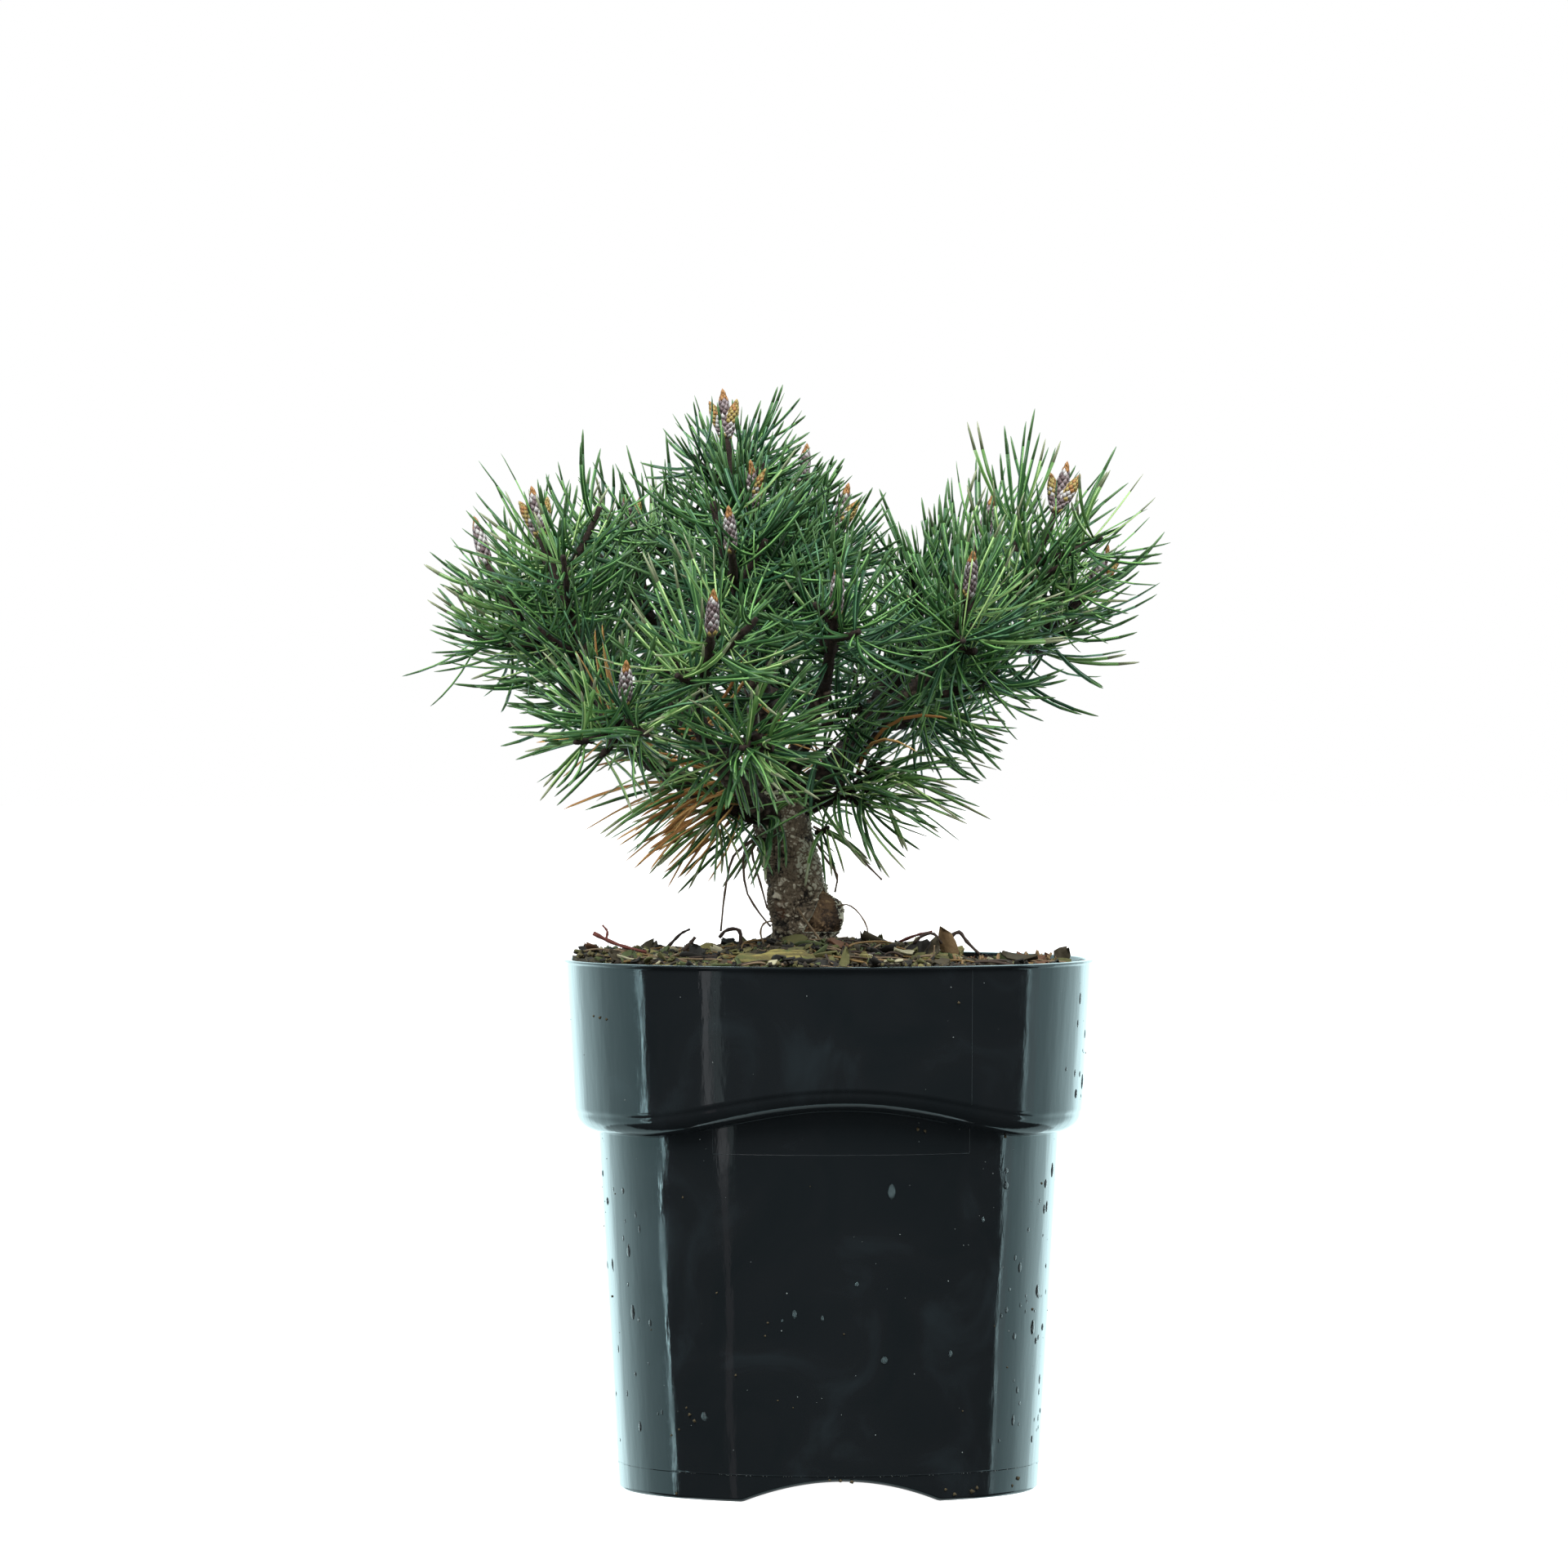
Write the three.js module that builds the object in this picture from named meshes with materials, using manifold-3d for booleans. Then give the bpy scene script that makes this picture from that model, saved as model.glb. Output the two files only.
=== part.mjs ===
// Potted dwarf mountain pine: a young, slow growing pine with a short bare trunk and a wide,
// open crown, in a round tapered nursery pot whose collar rises in a low wave at front and back.
// Millimetres, +Z up. The pot axis is x = 0, y = 0 and the pot stands on z = 0 while the parts
// are made. The finished group is then shifted so that its box is centred over the origin.

import * as THREE from 'three';
import { mergeVertices } from 'three/addons/utils/BufferGeometryUtils.js';
import { ParametricGeometry } from 'three/addons/geometries/ParametricGeometry.js';
import Module from 'manifold-3d';

const wasm = await Module();
wasm.setup();
const { Manifold, Mesh } = wasm;

const DEGREE = Math.PI / 180;
const GOLDEN_TURN = 137.5 * DEGREE;
const CLEARANCE = 0.3;
const SMOOTHING = 0.04;
const FRAME_STEP = 0.01;
const FRAME_GUIDE = new THREE.Vector3(0.31, 0.93, -0.2).normalize();

// Pot
const POT_HEIGHT = 169.5;
const BASE_RADIUS = 67.1;
const BODY_TAPER = 0.058;
const COLLAR_STEP = 7.2;
const RIM_RADIUS = 85;
const RIM_DEPTH = 2.2;
const WALL = 1.6;
const FOOT_WIDTH = 2.4;
const FLOOR_RAISE = 9;
const FLOOR_THICKNESS = 2;
const SHOULDER_HEIGHT = 6.4;
const COLLAR_FOOT = 114.5;
const WAVE_RISE = 9.5;
const WAVE_HALF_ANGLE = 56 * DEGREE;
const FRONT_TURN = -86.5 * DEGREE;
const ARCH_HALF_WIDTH = 31.5;
const ARCH_HEIGHT = 6.8;
const DRAIN_RADIUS = 5;
const DRAIN_RING = 42;
const DRAIN_COUNT = 4;
const POT_SIDES = 40;

// Soil, heaped a little towards the trunk and lower on the right
const SOIL_LEVEL = 168.4;
const SOIL_MOUND = 7;
const MOUND_SPREAD = 34;
const SOIL_TILT = 0.021;
const LUMP_HEIGHT = 0.7;
const LUMP_LENGTH = 6.1;
const LUMP_WIDTH = 5.3;
const SOIL_RINGS = [0.72, 0.44, 0.2, 0];
const SEAT_RADIUS = 13;

// Trunk
const GROUND = SOIL_LEVEL + SOIL_MOUND;
const TRUNK_FOOT = new THREE.Vector3(-7.4, 0, GROUND - 2);
const TRUNK_BENDS = [new THREE.Vector3(-9.5, 0, 190), new THREE.Vector3(-13.5, 0, 207)];
const TRUNK_FORK = new THREE.Vector3(-17.5, 0, 224);
const TRUNK_RADIUS = 9.1;
const ROOT_FLARE = 1.2;
const FORK_SWELL = 1;
const BURL_RADIUS = 7.4;
const BURL_CENTRE = new THREE.Vector3(-2.6, -2.6, 183);
const WOUND_FACING = new THREE.Vector3(0.42, -0.88, 0.22).normalize();
const WOUND_DEPTH = 6.2;

// Boughs: the place along the trunk where each leaves it, its tip, sag and radius at both ends
const BOUGHS = [
  { name: 'leader', from: 1, tip: [-26, 0, 278], sag: 0, foot: 5.4, end: 3.2 },
  { name: 'bough_right', from: 0.86, tip: [39, -5, 267], sag: 5, foot: 5, end: 3 },
  { name: 'bough_left', from: 0.86, tip: [-69, -25, 243], sag: 11, foot: 4.4, end: 2.7 },
  { name: 'bough_front', from: 0.8, tip: [-42, -55, 247], sag: 10, foot: 4.2, end: 2.7 },
  { name: 'bough_front_right', from: 0.95, tip: [-2, -36, 257], sag: 5, foot: 3.8, end: 2.6 },
  { name: 'bough_back_left', from: 0.84, tip: [-50, 45, 252], sag: 9, foot: 4.4, end: 2.8 },
  { name: 'bough_back', from: 0.96, tip: [-18, 50, 258], sag: 7, foot: 4.2, end: 2.7 },
  { name: 'bough_back_right', from: 0.8, tip: [15, 44, 251], sag: 8, foot: 4.2, end: 2.7 },
];

// Needle masses by the limb that each grows from: the place along the limb, the tip of the mass's
// main shoot, how far that shoot sags, its side twigs, its buds, its needles' spread in degrees and the
// share of the full needle length that they reach
const MASSES = {
  leader: [
    { name: 'top', at: 1, tip: [-33, 5, 337], sag: 0, twigs: 2, buds: 3, spread: 52, size: 0.7 },
    { name: 'top_back', at: 0.97, tip: [-9, 22, 320], sag: 6, twigs: 1, buds: 1, spread: 44, size: 0.5 },
    { name: 'top_right', at: 0.93, tip: [2, -5, 306], sag: 8, twigs: 1, buds: 2, spread: 42, size: 0.78 },
    { name: 'top_front', at: 0.97, tip: [-25, -22, 314], sag: 4, twigs: 1, buds: 2, spread: 58, size: 0.9 },
    { name: 'high_front', at: 0.72, tip: [-31, -55, 300], sag: 12, twigs: 2, buds: 1, spread: 60, size: 1 },
  ],
  bough_right: [
    { name: 'right_upper', at: 1, tip: [73, 0, 313], sag: 14, twigs: 2, buds: 3, spread: 54, size: 0.94 },
    { name: 'right_front', at: 0.9, tip: [44, -50, 286], sag: 9, twigs: 2, buds: 1, spread: 58, size: 0.95 },
    { name: 'right_far', at: 0.97, tip: [84, 15, 287], sag: 13, twigs: 1, buds: 2, spread: 52, size: 0.9 },
    { name: 'right_low', at: 0.8, tip: [54, -18, 262], sag: 8, twigs: 1, buds: 0, spread: 50, size: 0.8 },
  ],
  bough_left: [
    { name: 'left_upper', at: 1, tip: [-92, -12, 305], sag: 0, twigs: 2, buds: 3, spread: 58, size: 0.9 },
    { name: 'left_far', at: 0.95, tip: [-110, 12, 296], sag: 12, twigs: 1, buds: 1, spread: 60, size: 0.88 },
    { name: 'left_low', at: 0.9, tip: [-88, -6, 272], sag: 9, twigs: 1, buds: 0, spread: 48, size: 0.74 },
    { name: 'left_front', at: 0.97, tip: [-64, -84, 252], sag: 6, twigs: 2, buds: 1, spread: 58, size: 0.84 },
  ],
  bough_front: [
    { name: 'front', at: 1, tip: [-37, -90, 274], sag: 4, twigs: 2, buds: 1, spread: 62, size: 1 },
    { name: 'front_low', at: 0.85, tip: [-22, -80, 242], sag: 4, twigs: 1, buds: 0, spread: 54, size: 0.86 },
  ],
  bough_front_right: [
    { name: 'centre_right', at: 1, tip: [2, -62, 280], sag: 5, twigs: 2, buds: 1, spread: 60, size: 1 },
  ],
  bough_back_left: [
    { name: 'back_left_upper', at: 1, tip: [-64, 42, 305], sag: 5,
      twigs: 2, buds: 2, spread: 56, size: 0.92 },
    { name: 'back_left', at: 0.9, tip: [-86, 54, 268], sag: 8, twigs: 2, buds: 1, spread: 54, size: 0.88 },
    { name: 'back_left_low', at: 0.95, tip: [-58, 80, 253], sag: 6,
      twigs: 1, buds: 1, spread: 54, size: 0.85 },
  ],
  bough_back: [
    { name: 'back', at: 1, tip: [-24, 76, 294], sag: 5, twigs: 2, buds: 2, spread: 56, size: 0.95 },
    { name: 'back_low', at: 0.85, tip: [-16, 90, 254], sag: 6, twigs: 2, buds: 1, spread: 56, size: 0.9 },
  ],
  bough_back_right: [
    { name: 'back_right_upper', at: 0.95, tip: [50, 34, 304], sag: 10,
      twigs: 1, buds: 1, spread: 46, size: 0.86 },
    { name: 'back_right', at: 1, tip: [24, 70, 272], sag: 5, twigs: 2, buds: 1, spread: 54, size: 0.92 },
    { name: 'back_right_low', at: 0.85, tip: [44, 60, 252], sag: 5,
      twigs: 1, buds: 1, spread: 50, size: 0.8 },
  ],
  trunk: [
    { name: 'low_right', at: 0.82, tip: [16, -16, 230], sag: 4, twigs: 1, buds: 0, spread: 48, size: 0.94 },
    { name: 'low_left', at: 0.78, tip: [-38, -18, 221], sag: 3, twigs: 1, buds: 0, spread: 54, size: 0.9 },
    { name: 'low_back', at: 0.82, tip: [-22, 38, 225], sag: 4, twigs: 1, buds: 1, spread: 54, size: 0.8 },
  ],
};
const STEM_FOOT = 2.3;
const STEM_END = 1.4;
const TWIG_FOOT = 1.5;
const TWIG_END = 1;
const TWIG_LEAN = 52 * DEGREE;
const TWIG_SHARE = 0.4;
const TWIG_START = 0.46;
const TWIG_STEP = 0.24;
const TWIG_LIFT = 0.12;
const TWIG_ROOM = 8;
const BARE_SHARE = 0.36;
const TWIG_BARE_SHARE = 0.25;
const SAMPLES = 8;
const OWN_ROOM = 0.6;
const NEEDLE_LENGTH = 44;
const TWIG_SIZE = 0.9;
const NEEDLE_WIDTH = 3.2;
const NEEDLE_WAIST = 0.4;
const NEEDLE_BOW = 0.03;
const NEEDLE_RADIUS = NEEDLE_WIDTH / Math.sqrt(3);
const NEEDLE_CHECKS = [0.2, 0.4, 0.55, 0.7, 0.85, 1];
const LEAN_RANGE = [1.15, 0.8];
const LENGTH_RANGE = [1, 0.76];
const LENGTH_SPREAD = 0.12;
const SHORTER = [1, 0.85, 0.7];
const NEEDLES_ON_STEM = 16;
const NEEDLES_ON_TWIG = 6;
const BUD_LENGTH = 17;
const BUD_RADIUS = 2.4;
const BUD_SPLAY = 22 * DEGREE;
const SIDE_BUD = 0.8;

// Bark chips on the soil: centre, length, width and turn in degrees
const CHIPS = [
  { at: [-17, -62], length: 26, width: 7, turn: 4 },
  { at: [-66, -22], length: 15, width: 6, turn: -28 },
  { at: [-44, 36], length: 17, width: 8, turn: 62 },
  { at: [36, -30], length: 13, width: 9, turn: 35 },
  { at: [52, 14], length: 14, width: 7, turn: -50 },
  { at: [14, 56], length: 18, width: 7, turn: 15 },
];
const CHIP_THICKNESS = 3;
const CHIP_SUNK = 0.9;

// A repeatable number from 0 to 1 for step k of a seeded row.
function chance(seed, k) {
  const wave = Math.sin(seed * 12.9898 + k * 78.233) * 43758.5453;
  return wave - Math.floor(wave);
}

function mix(a, b, share) {
  return a + (b - a) * share;
}

// Turns a closed three.js geometry into a solid, with shared corners and no flat triangles.
function solidOf(geometry) {
  geometry.deleteAttribute('normal');
  geometry.deleteAttribute('uv');
  const merged = mergeVertices(geometry, 1e-4);
  const corners = merged.index.array;
  const faces = [];
  for (let i = 0; i < corners.length; i += 3) {
    const [a, b, c] = [corners[i], corners[i + 1], corners[i + 2]];
    if (a !== b && b !== c && c !== a) {
      faces.push(a, b, c);
    }
  }
  const vertProperties = Float32Array.from(merged.attributes.position.array);
  return new Manifold(new Mesh({ numProp: 3, vertProperties, triVerts: Uint32Array.from(faces) }));
}

function geometryOf(solid) {
  const mesh = solid.getMesh();
  const geometry = new THREE.BufferGeometry();
  geometry.setAttribute('position', new THREE.BufferAttribute(Float32Array.from(mesh.vertProperties), 3));
  geometry.setIndex(new THREE.BufferAttribute(Uint32Array.from(mesh.triVerts), 1));
  geometry.computeVertexNormals();
  return geometry;
}

// The largest body of a solid: loose scraps go, and a sealed hollow is filled.
function largestBody(solid) {
  const bodies = solid.decompose();
  return bodies.reduce((best, body) => (body.volume() > best.volume() ? body : best));
}

// A surface of rings round the pot axis: outline(turn) gives the same number of points each time.
function ringSolid(outline, rows) {
  const surface = (u, v, target) => {
    const [x, y, z] = outline(u * 2 * Math.PI)[Math.round(v * (rows - 1))];
    target.set(x, y, z);
  };
  return solidOf(new ParametricGeometry(surface, POT_SIDES, rows - 1));
}

function bodyRadius(height) {
  return BASE_RADIUS + BODY_TAPER * height;
}

// Height of the collar's lower edge: level, with a smooth rise at front and back.
function collarEdge(turn) {
  const away = Math.acos(Math.min(1, Math.abs(Math.cos(turn - FRONT_TURN))));
  if (away > WAVE_HALF_ANGLE) {
    return COLLAR_FOOT;
  }
  return COLLAR_FOOT + WAVE_RISE * (1 + Math.cos(Math.PI * away / WAVE_HALF_ANGLE)) / 2;
}

// The quarter round from the body out to the collar, as radius and height, moved inwards by inset.
function shoulder(turn, inset) {
  const edge = collarEdge(turn);
  return [0, 30, 60, 90].map((step) => {
    const angle = step * DEGREE;
    const radius = bodyRadius(edge) + COLLAR_STEP * Math.sin(angle) - inset * Math.sin(angle);
    return [radius, edge + SHOULDER_HEIGHT * (1 - Math.cos(angle)) + inset * Math.cos(angle)];
  });
}

// The inside of the pot wall from the floor up to a top height, as radius and height.
function innerWall(turn, inset, floor, top) {
  const [first, ...rest] = shoulder(turn, inset);
  return [
    [bodyRadius(floor) - inset, floor],
    [bodyRadius(first[1]) - inset, first[1]],
    ...rest,
    [bodyRadius(top) + COLLAR_STEP - inset, top],
  ];
}

function place(turn, [radius, height]) {
  return [radius * Math.cos(turn), radius * Math.sin(turn), height];
}

function potOutline(turn) {
  const rimFoot = POT_HEIGHT - RIM_DEPTH;
  const floor = FLOOR_RAISE + FLOOR_THICKNESS;
  const profile = [
    [0, FLOOR_RAISE],
    [BASE_RADIUS - FOOT_WIDTH, FLOOR_RAISE],
    [BASE_RADIUS - FOOT_WIDTH, 0],
    [BASE_RADIUS - 0.5, 0],
    [bodyRadius(FLOOR_RAISE), FLOOR_RAISE],
    ...shoulder(turn, 0),
    [bodyRadius(rimFoot) + COLLAR_STEP, rimFoot],
    [RIM_RADIUS, rimFoot + 0.6],
    [RIM_RADIUS, POT_HEIGHT],
    ...innerWall(turn, WALL, floor, POT_HEIGHT).reverse(),
    [0, floor],
  ];
  return profile.map((point) => place(turn, point));
}

function archCutter() {
  const shape = new THREE.Shape();
  shape.moveTo(-ARCH_HALF_WIDTH, -1);
  shape.lineTo(-ARCH_HALF_WIDTH, 0);
  shape.quadraticCurveTo(0, 2 * ARCH_HEIGHT, ARCH_HALF_WIDTH, 0);
  shape.lineTo(ARCH_HALF_WIDTH, -1);
  const depth = 2 * RIM_RADIUS;
  const geometry = new THREE.ExtrudeGeometry(shape, { depth, bevelEnabled: false, curveSegments: 10 });
  geometry.translate(0, 0, -depth / 2);
  geometry.rotateX(Math.PI / 2);
  geometry.rotateZ(FRONT_TURN + Math.PI / 2);
  return solidOf(geometry);
}

function drainCutter(index) {
  const turn = (index + 0.5) * 2 * Math.PI / DRAIN_COUNT;
  const geometry = new THREE.CylinderGeometry(DRAIN_RADIUS, DRAIN_RADIUS, 3 * FLOOR_THICKNESS, 8);
  geometry.rotateX(Math.PI / 2);
  geometry.translate(...place(turn, [DRAIN_RING, FLOOR_RAISE + FLOOR_THICKNESS / 2]));
  return solidOf(geometry);
}

function potSolid() {
  let pot = ringSolid(potOutline, potOutline(0).length).subtract(archCutter());
  for (let index = 0; index < DRAIN_COUNT; index += 1) {
    pot = pot.subtract(drainCutter(index));
  }
  return largestBody(pot);
}

// Height of the soil: a mound round the trunk foot on a slight tilt, with a flat seat and lumps.
function soilHeight(x, y) {
  const away = Math.hypot(x - TRUNK_FOOT.x, y - TRUNK_FOOT.y);
  if (away <= SEAT_RADIUS) {
    return GROUND;
  }
  const beyond = away - SEAT_RADIUS;
  const ease = Math.min(1, beyond / SEAT_RADIUS);
  const mound = SOIL_LEVEL + SOIL_MOUND * Math.exp(-((beyond / MOUND_SPREAD) ** 2));
  const lumps = LUMP_HEIGHT * Math.sin(x / LUMP_LENGTH + 1.3) * Math.sin(y / LUMP_WIDTH + 0.7);
  return mound + ease * (lumps - SOIL_TILT * x);
}

// The soil's outline at a turn: up the inside of the wall, then in over the mound to its middle.
function soilOutline(turn) {
  const inset = WALL + CLEARANCE;
  const floor = FLOOR_RAISE + FLOOR_THICKNESS + CLEARANCE;
  const reach = bodyRadius(SOIL_LEVEL) + COLLAR_STEP - inset;
  const [wallX, wallY] = place(turn, [reach, 0]);
  const wall = innerWall(turn, inset, floor, soilHeight(wallX, wallY));
  const away = Math.hypot(wallX - TRUNK_FOOT.x, wallY - TRUNK_FOOT.y);
  const inner = SEAT_RADIUS / away;
  const top = SOIL_RINGS.map((step) => {
    const share = inner + (1 - inner) * step;
    const x = mix(TRUNK_FOOT.x, wallX, share);
    const y = mix(TRUNK_FOOT.y, wallY, share);
    return [x, y, soilHeight(x, y)];
  });
  return [
    [0, 0, floor],
    ...wall.map((point) => place(turn, point)),
    ...top,
    [TRUNK_FOOT.x, TRUNK_FOOT.y, soilHeight(TRUNK_FOOT.x, TRUNK_FOOT.y)],
  ];
}

function soilSolid() {
  return largestBody(ringSolid(soilOutline, soilOutline(0).length));
}

// An upright cylinder bent along a path and thinned by radiusAt. The gap makes it fatter and
// longer all round, for cutting a neighbour clear of it.
function bentTube(pathAt, radiusAt, sides, steps, gap = 0) {
  const geometry = new THREE.CylinderGeometry(1, 1, 1, sides, steps);
  const corner = new THREE.Vector3();
  const positions = geometry.attributes.position;
  for (let i = 0; i < positions.count; i += 1) {
    corner.fromBufferAttribute(positions, i);
    const along = corner.y + 0.5;
    const { axis, side, front } = frameAt(pathAt, along);
    const endShift = gap * (Number(along === 1) - Number(along === 0));
    const radius = radiusAt(along) + gap;
    const point = pathAt(along).addScaledVector(axis, endShift);
    point.addScaledVector(side, corner.x * radius).addScaledVector(front, -corner.z * radius);
    positions.setXYZ(i, point.x, point.y, point.z);
  }
  return solidOf(geometry);
}

// The direction of a path at a place along it, with two directions square to it.
function frameAt(pathAt, along) {
  const before = pathAt(Math.max(0, along - FRAME_STEP));
  const axis = pathAt(Math.min(1, along + FRAME_STEP)).sub(before).normalize();
  const side = new THREE.Vector3().crossVectors(FRAME_GUIDE, axis).normalize();
  const front = new THREE.Vector3().crossVectors(axis, side);
  return { axis, side, front };
}

// A limb's path: a curve from foot to tip whose middle control point hangs down by sag.
function sagPath(foot, tip, sag) {
  const middle = foot.clone().add(tip).multiplyScalar(0.5);
  middle.z -= sag;
  const curve = new THREE.QuadraticBezierCurve3(foot, middle, tip);
  return (along) => curve.getPoint(along);
}

function trunkLimb() {
  const curve = new THREE.CubicBezierCurve3(TRUNK_FOOT, ...TRUNK_BENDS, TRUNK_FORK);
  const radiusAt = (along) => TRUNK_RADIUS + ROOT_FLARE * (1 - along) ** 6 + FORK_SWELL * along ** 8;
  return { name: 'trunk', pathAt: (along) => curve.getPoint(along), radiusAt, sides: 14, steps: 9 };
}

function boughLimb(row, trunk) {
  const pathAt = sagPath(trunk.pathAt(row.from), new THREE.Vector3(...row.tip), row.sag);
  const radiusAt = (along) => mix(row.foot, row.end, along);
  return { name: row.name, pathAt, radiusAt, sides: 6, steps: 6 };
}

function limbSolid(limb, gap = 0) {
  return bentTube(limb.pathAt, limb.radiusAt, limb.sides, limb.steps, gap);
}

// The swollen graft wound at the trunk foot, with its flat pruning cut.
function burlSolid(gap = 0) {
  const geometry = new THREE.IcosahedronGeometry(BURL_RADIUS + gap, 1);
  geometry.translate(...BURL_CENTRE);
  return solidOf(geometry);
}

// A cube that fills the far side of a plane through a point, for cutting a flat face.
function slab(size, centre, facing) {
  const geometry = new THREE.BoxGeometry(size, size, size);
  geometry.translate(0, 0, size / 2);
  const turn = new THREE.Quaternion().setFromUnitVectors(new THREE.Vector3(0, 0, 1), facing);
  geometry.applyQuaternion(turn);
  geometry.translate(...centre);
  return solidOf(geometry);
}

// The trunk with its burl, cut flat at the pruning wound and at the ground.
function trunkSolid(trunk) {
  const cutFace = BURL_CENTRE.clone().addScaledVector(WOUND_FACING, WOUND_DEPTH);
  const burl = burlSolid().subtract(slab(2 * BURL_RADIUS, cutFace, WOUND_FACING));
  const footing = new THREE.Vector3(TRUNK_FOOT.x, 0, GROUND + CLEARANCE);
  const below = slab(4 * TRUNK_RADIUS, footing, new THREE.Vector3(0, 0, -1));
  return largestBody(limbSolid(trunk).add(burl).subtract(below));
}

// Samples along a path, with one more past its tip where a bud stands.
function samplePath(pathAt, budLength) {
  const points = [];
  for (let step = 0; step <= SAMPLES; step += 1) {
    points.push(pathAt(step / SAMPLES));
  }
  const { axis } = frameAt(pathAt, 1);
  points.push(points[SAMPLES].clone().addScaledVector(axis, budLength));
  return points;
}

// Distance from a point to the line through the samples of a path.
function distanceTo(samples, point) {
  let least = Infinity;
  for (let i = 1; i < samples.length; i += 1) {
    const nearest = new THREE.Vector3();
    new THREE.Line3(samples[i - 1], samples[i]).closestPointToPoint(point, true, nearest);
    least = Math.min(least, nearest.distanceTo(point));
  }
  return least;
}

// The main shoot of a mass, from its limb to its tip.
function mainShoot(row, limb) {
  const pathAt = sagPath(limb.pathAt(row.at), new THREE.Vector3(...row.tip), row.sag);
  const points = samplePath(pathAt, BUD_LENGTH);
  const length = pathAt(0).distanceTo(pathAt(1));
  return {
    pathAt, points, length, foot: STEM_FOOT, end: STEM_END, sides: 4, steps: 4,
    buds: row.buds, bare: BARE_SHARE, needles: NEEDLES_ON_STEM, spread: row.spread * DEGREE,
    size: row.size,
  };
}

// A side twig that leaves the main shoot by a seeded turn and bends a little upwards.
function sideTwig(seed, index, main) {
  const along = TWIG_START + TWIG_STEP * (index + 0.4 * chance(seed, index));
  const { axis, side, front } = frameAt(main.pathAt, along);
  const turn = GOLDEN_TURN * index + 2 * Math.PI * chance(seed, 10 + index);
  const length = main.length * TWIG_SHARE * (0.8 + 0.4 * chance(seed, 20 + index));
  const foot = main.pathAt(along);
  const tip = foot.clone().addScaledVector(axis, length * Math.cos(TWIG_LEAN));
  tip.addScaledVector(side, length * Math.sin(TWIG_LEAN) * Math.cos(turn));
  tip.addScaledVector(front, length * Math.sin(TWIG_LEAN) * Math.sin(turn));
  tip.z += TWIG_LIFT * length;
  const pathAt = sagPath(foot, tip, TWIG_LIFT * length);
  return {
    pathAt, points: samplePath(pathAt, BUD_LENGTH / 2), length, foot: TWIG_FOOT, end: TWIG_END,
    sides: 3, steps: 2, buds: 0, bare: TWIG_BARE_SHARE, needles: NEEDLES_ON_TWIG, spread: main.spread,
    size: TWIG_SIZE * main.size,
  };
}

// Whether a point keeps clear of every limb, by the limb's radius and a margin.
function clearOfLimbs(point, limbs, margin) {
  return limbs.every((limb) => {
    const clearOfSamples = limb.points.every((sample, step) => {
      const radius = limb.radiusAt(Math.min(1, step / SAMPLES));
      return sample.distanceTo(point) > radius + margin;
    });
    return clearOfSamples && distanceTo(limb.points, point) > limb.radiusAt(0.5) + margin;
  });
}

// Whether a point lies in the space of a mass: nearer to its own shoots than to any other's.
function inOwnSpace(point, mass, masses, space) {
  const own = Math.min(...mass.shoots.map((shoot) => distanceTo(shoot.points, point)));
  return masses.every((other) => other === mass
    || other.shoots.every((shoot) => distanceTo(shoot.points, point) > own + space));
}

// Whether the outer half of a side twig has room: it keeps off the limbs and all other shoots.
function twigFits(twig, mass, masses, limbs) {
  return twig.points.slice(SAMPLES / 2).every((point) => {
    const room = Math.max(TWIG_ROOM, OWN_ROOM * distanceTo(mass.shoots[0].points, point));
    return clearOfLimbs(point, limbs, TWIG_ROOM / 2) && masses.every((other) => other === mass
      || other.shoots.every((shoot) => distanceTo(shoot.points, point) > room));
  });
}

// The needles of one shoot: each root, direction and length, where the needle stays in its space.
function shootNeedles(shoot, seed, mass, masses, limbs) {
  const needles = [];
  for (let k = 0; k < shoot.needles; k += 1) {
    const share = (k + 0.5) / shoot.needles;
    const along = mix(shoot.bare, 1, share);
    const { axis, side, front } = frameAt(shoot.pathAt, along);
    const turn = GOLDEN_TURN * k + 2 * Math.PI * chance(seed, 40);
    const lean = shoot.spread * mix(...LEAN_RANGE, share);
    const direction = axis.clone().multiplyScalar(Math.cos(lean));
    direction.addScaledVector(side, Math.sin(lean) * Math.cos(turn));
    direction.addScaledVector(front, Math.sin(lean) * Math.sin(turn));
    const root = shoot.pathAt(along);
    const drawn = mix(...LENGTH_RANGE, share) + LENGTH_SPREAD * chance(seed, 100 + k);
    const full = NEEDLE_LENGTH * shoot.size * drawn;
    const fits = (length) => NEEDLE_CHECKS.every((part) => {
      const point = root.clone().addScaledVector(direction, length * part);
      const radius = needleRadius(part) + CLEARANCE;
      return clearOfLimbs(point, limbs, radius) && inOwnSpace(point, mass, masses, 2 * radius);
    });
    const length = SHORTER.map((part) => part * full).find(fits);
    if (length !== undefined) {
      needles.push({ root, direction, axis, length });
    }
  }
  return needles;
}

// Radius of a needle spray at a part of its length: none at root and tip, widest at the waist.
function needleRadius(part) {
  return NEEDLE_RADIUS * Math.min(part / NEEDLE_WAIST, (1 - part) / (1 - NEEDLE_WAIST));
}

// A needle spray: a three-sided spindle from a root at its twig's middle, bowed a little at the
// waist.
function needleSolid({ root, direction, axis, length }) {
  const waist = root.clone().addScaledVector(direction, NEEDLE_WAIST * length);
  const tip = root.clone().addScaledVector(direction, length);
  waist.addScaledVector(axis, -NEEDLE_BOW * length);
  const stations = [root, waist, tip];
  const pathAt = (along) => {
    const low = along < 0.5 ? 0 : 1;
    return stations[low].clone().lerp(stations[low + 1], 2 * along - low);
  };
  const radiusAt = (along) => (along === 0.5 ? NEEDLE_RADIUS : 0);
  return bentTube(pathAt, radiusAt, 3, 2);
}

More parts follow.
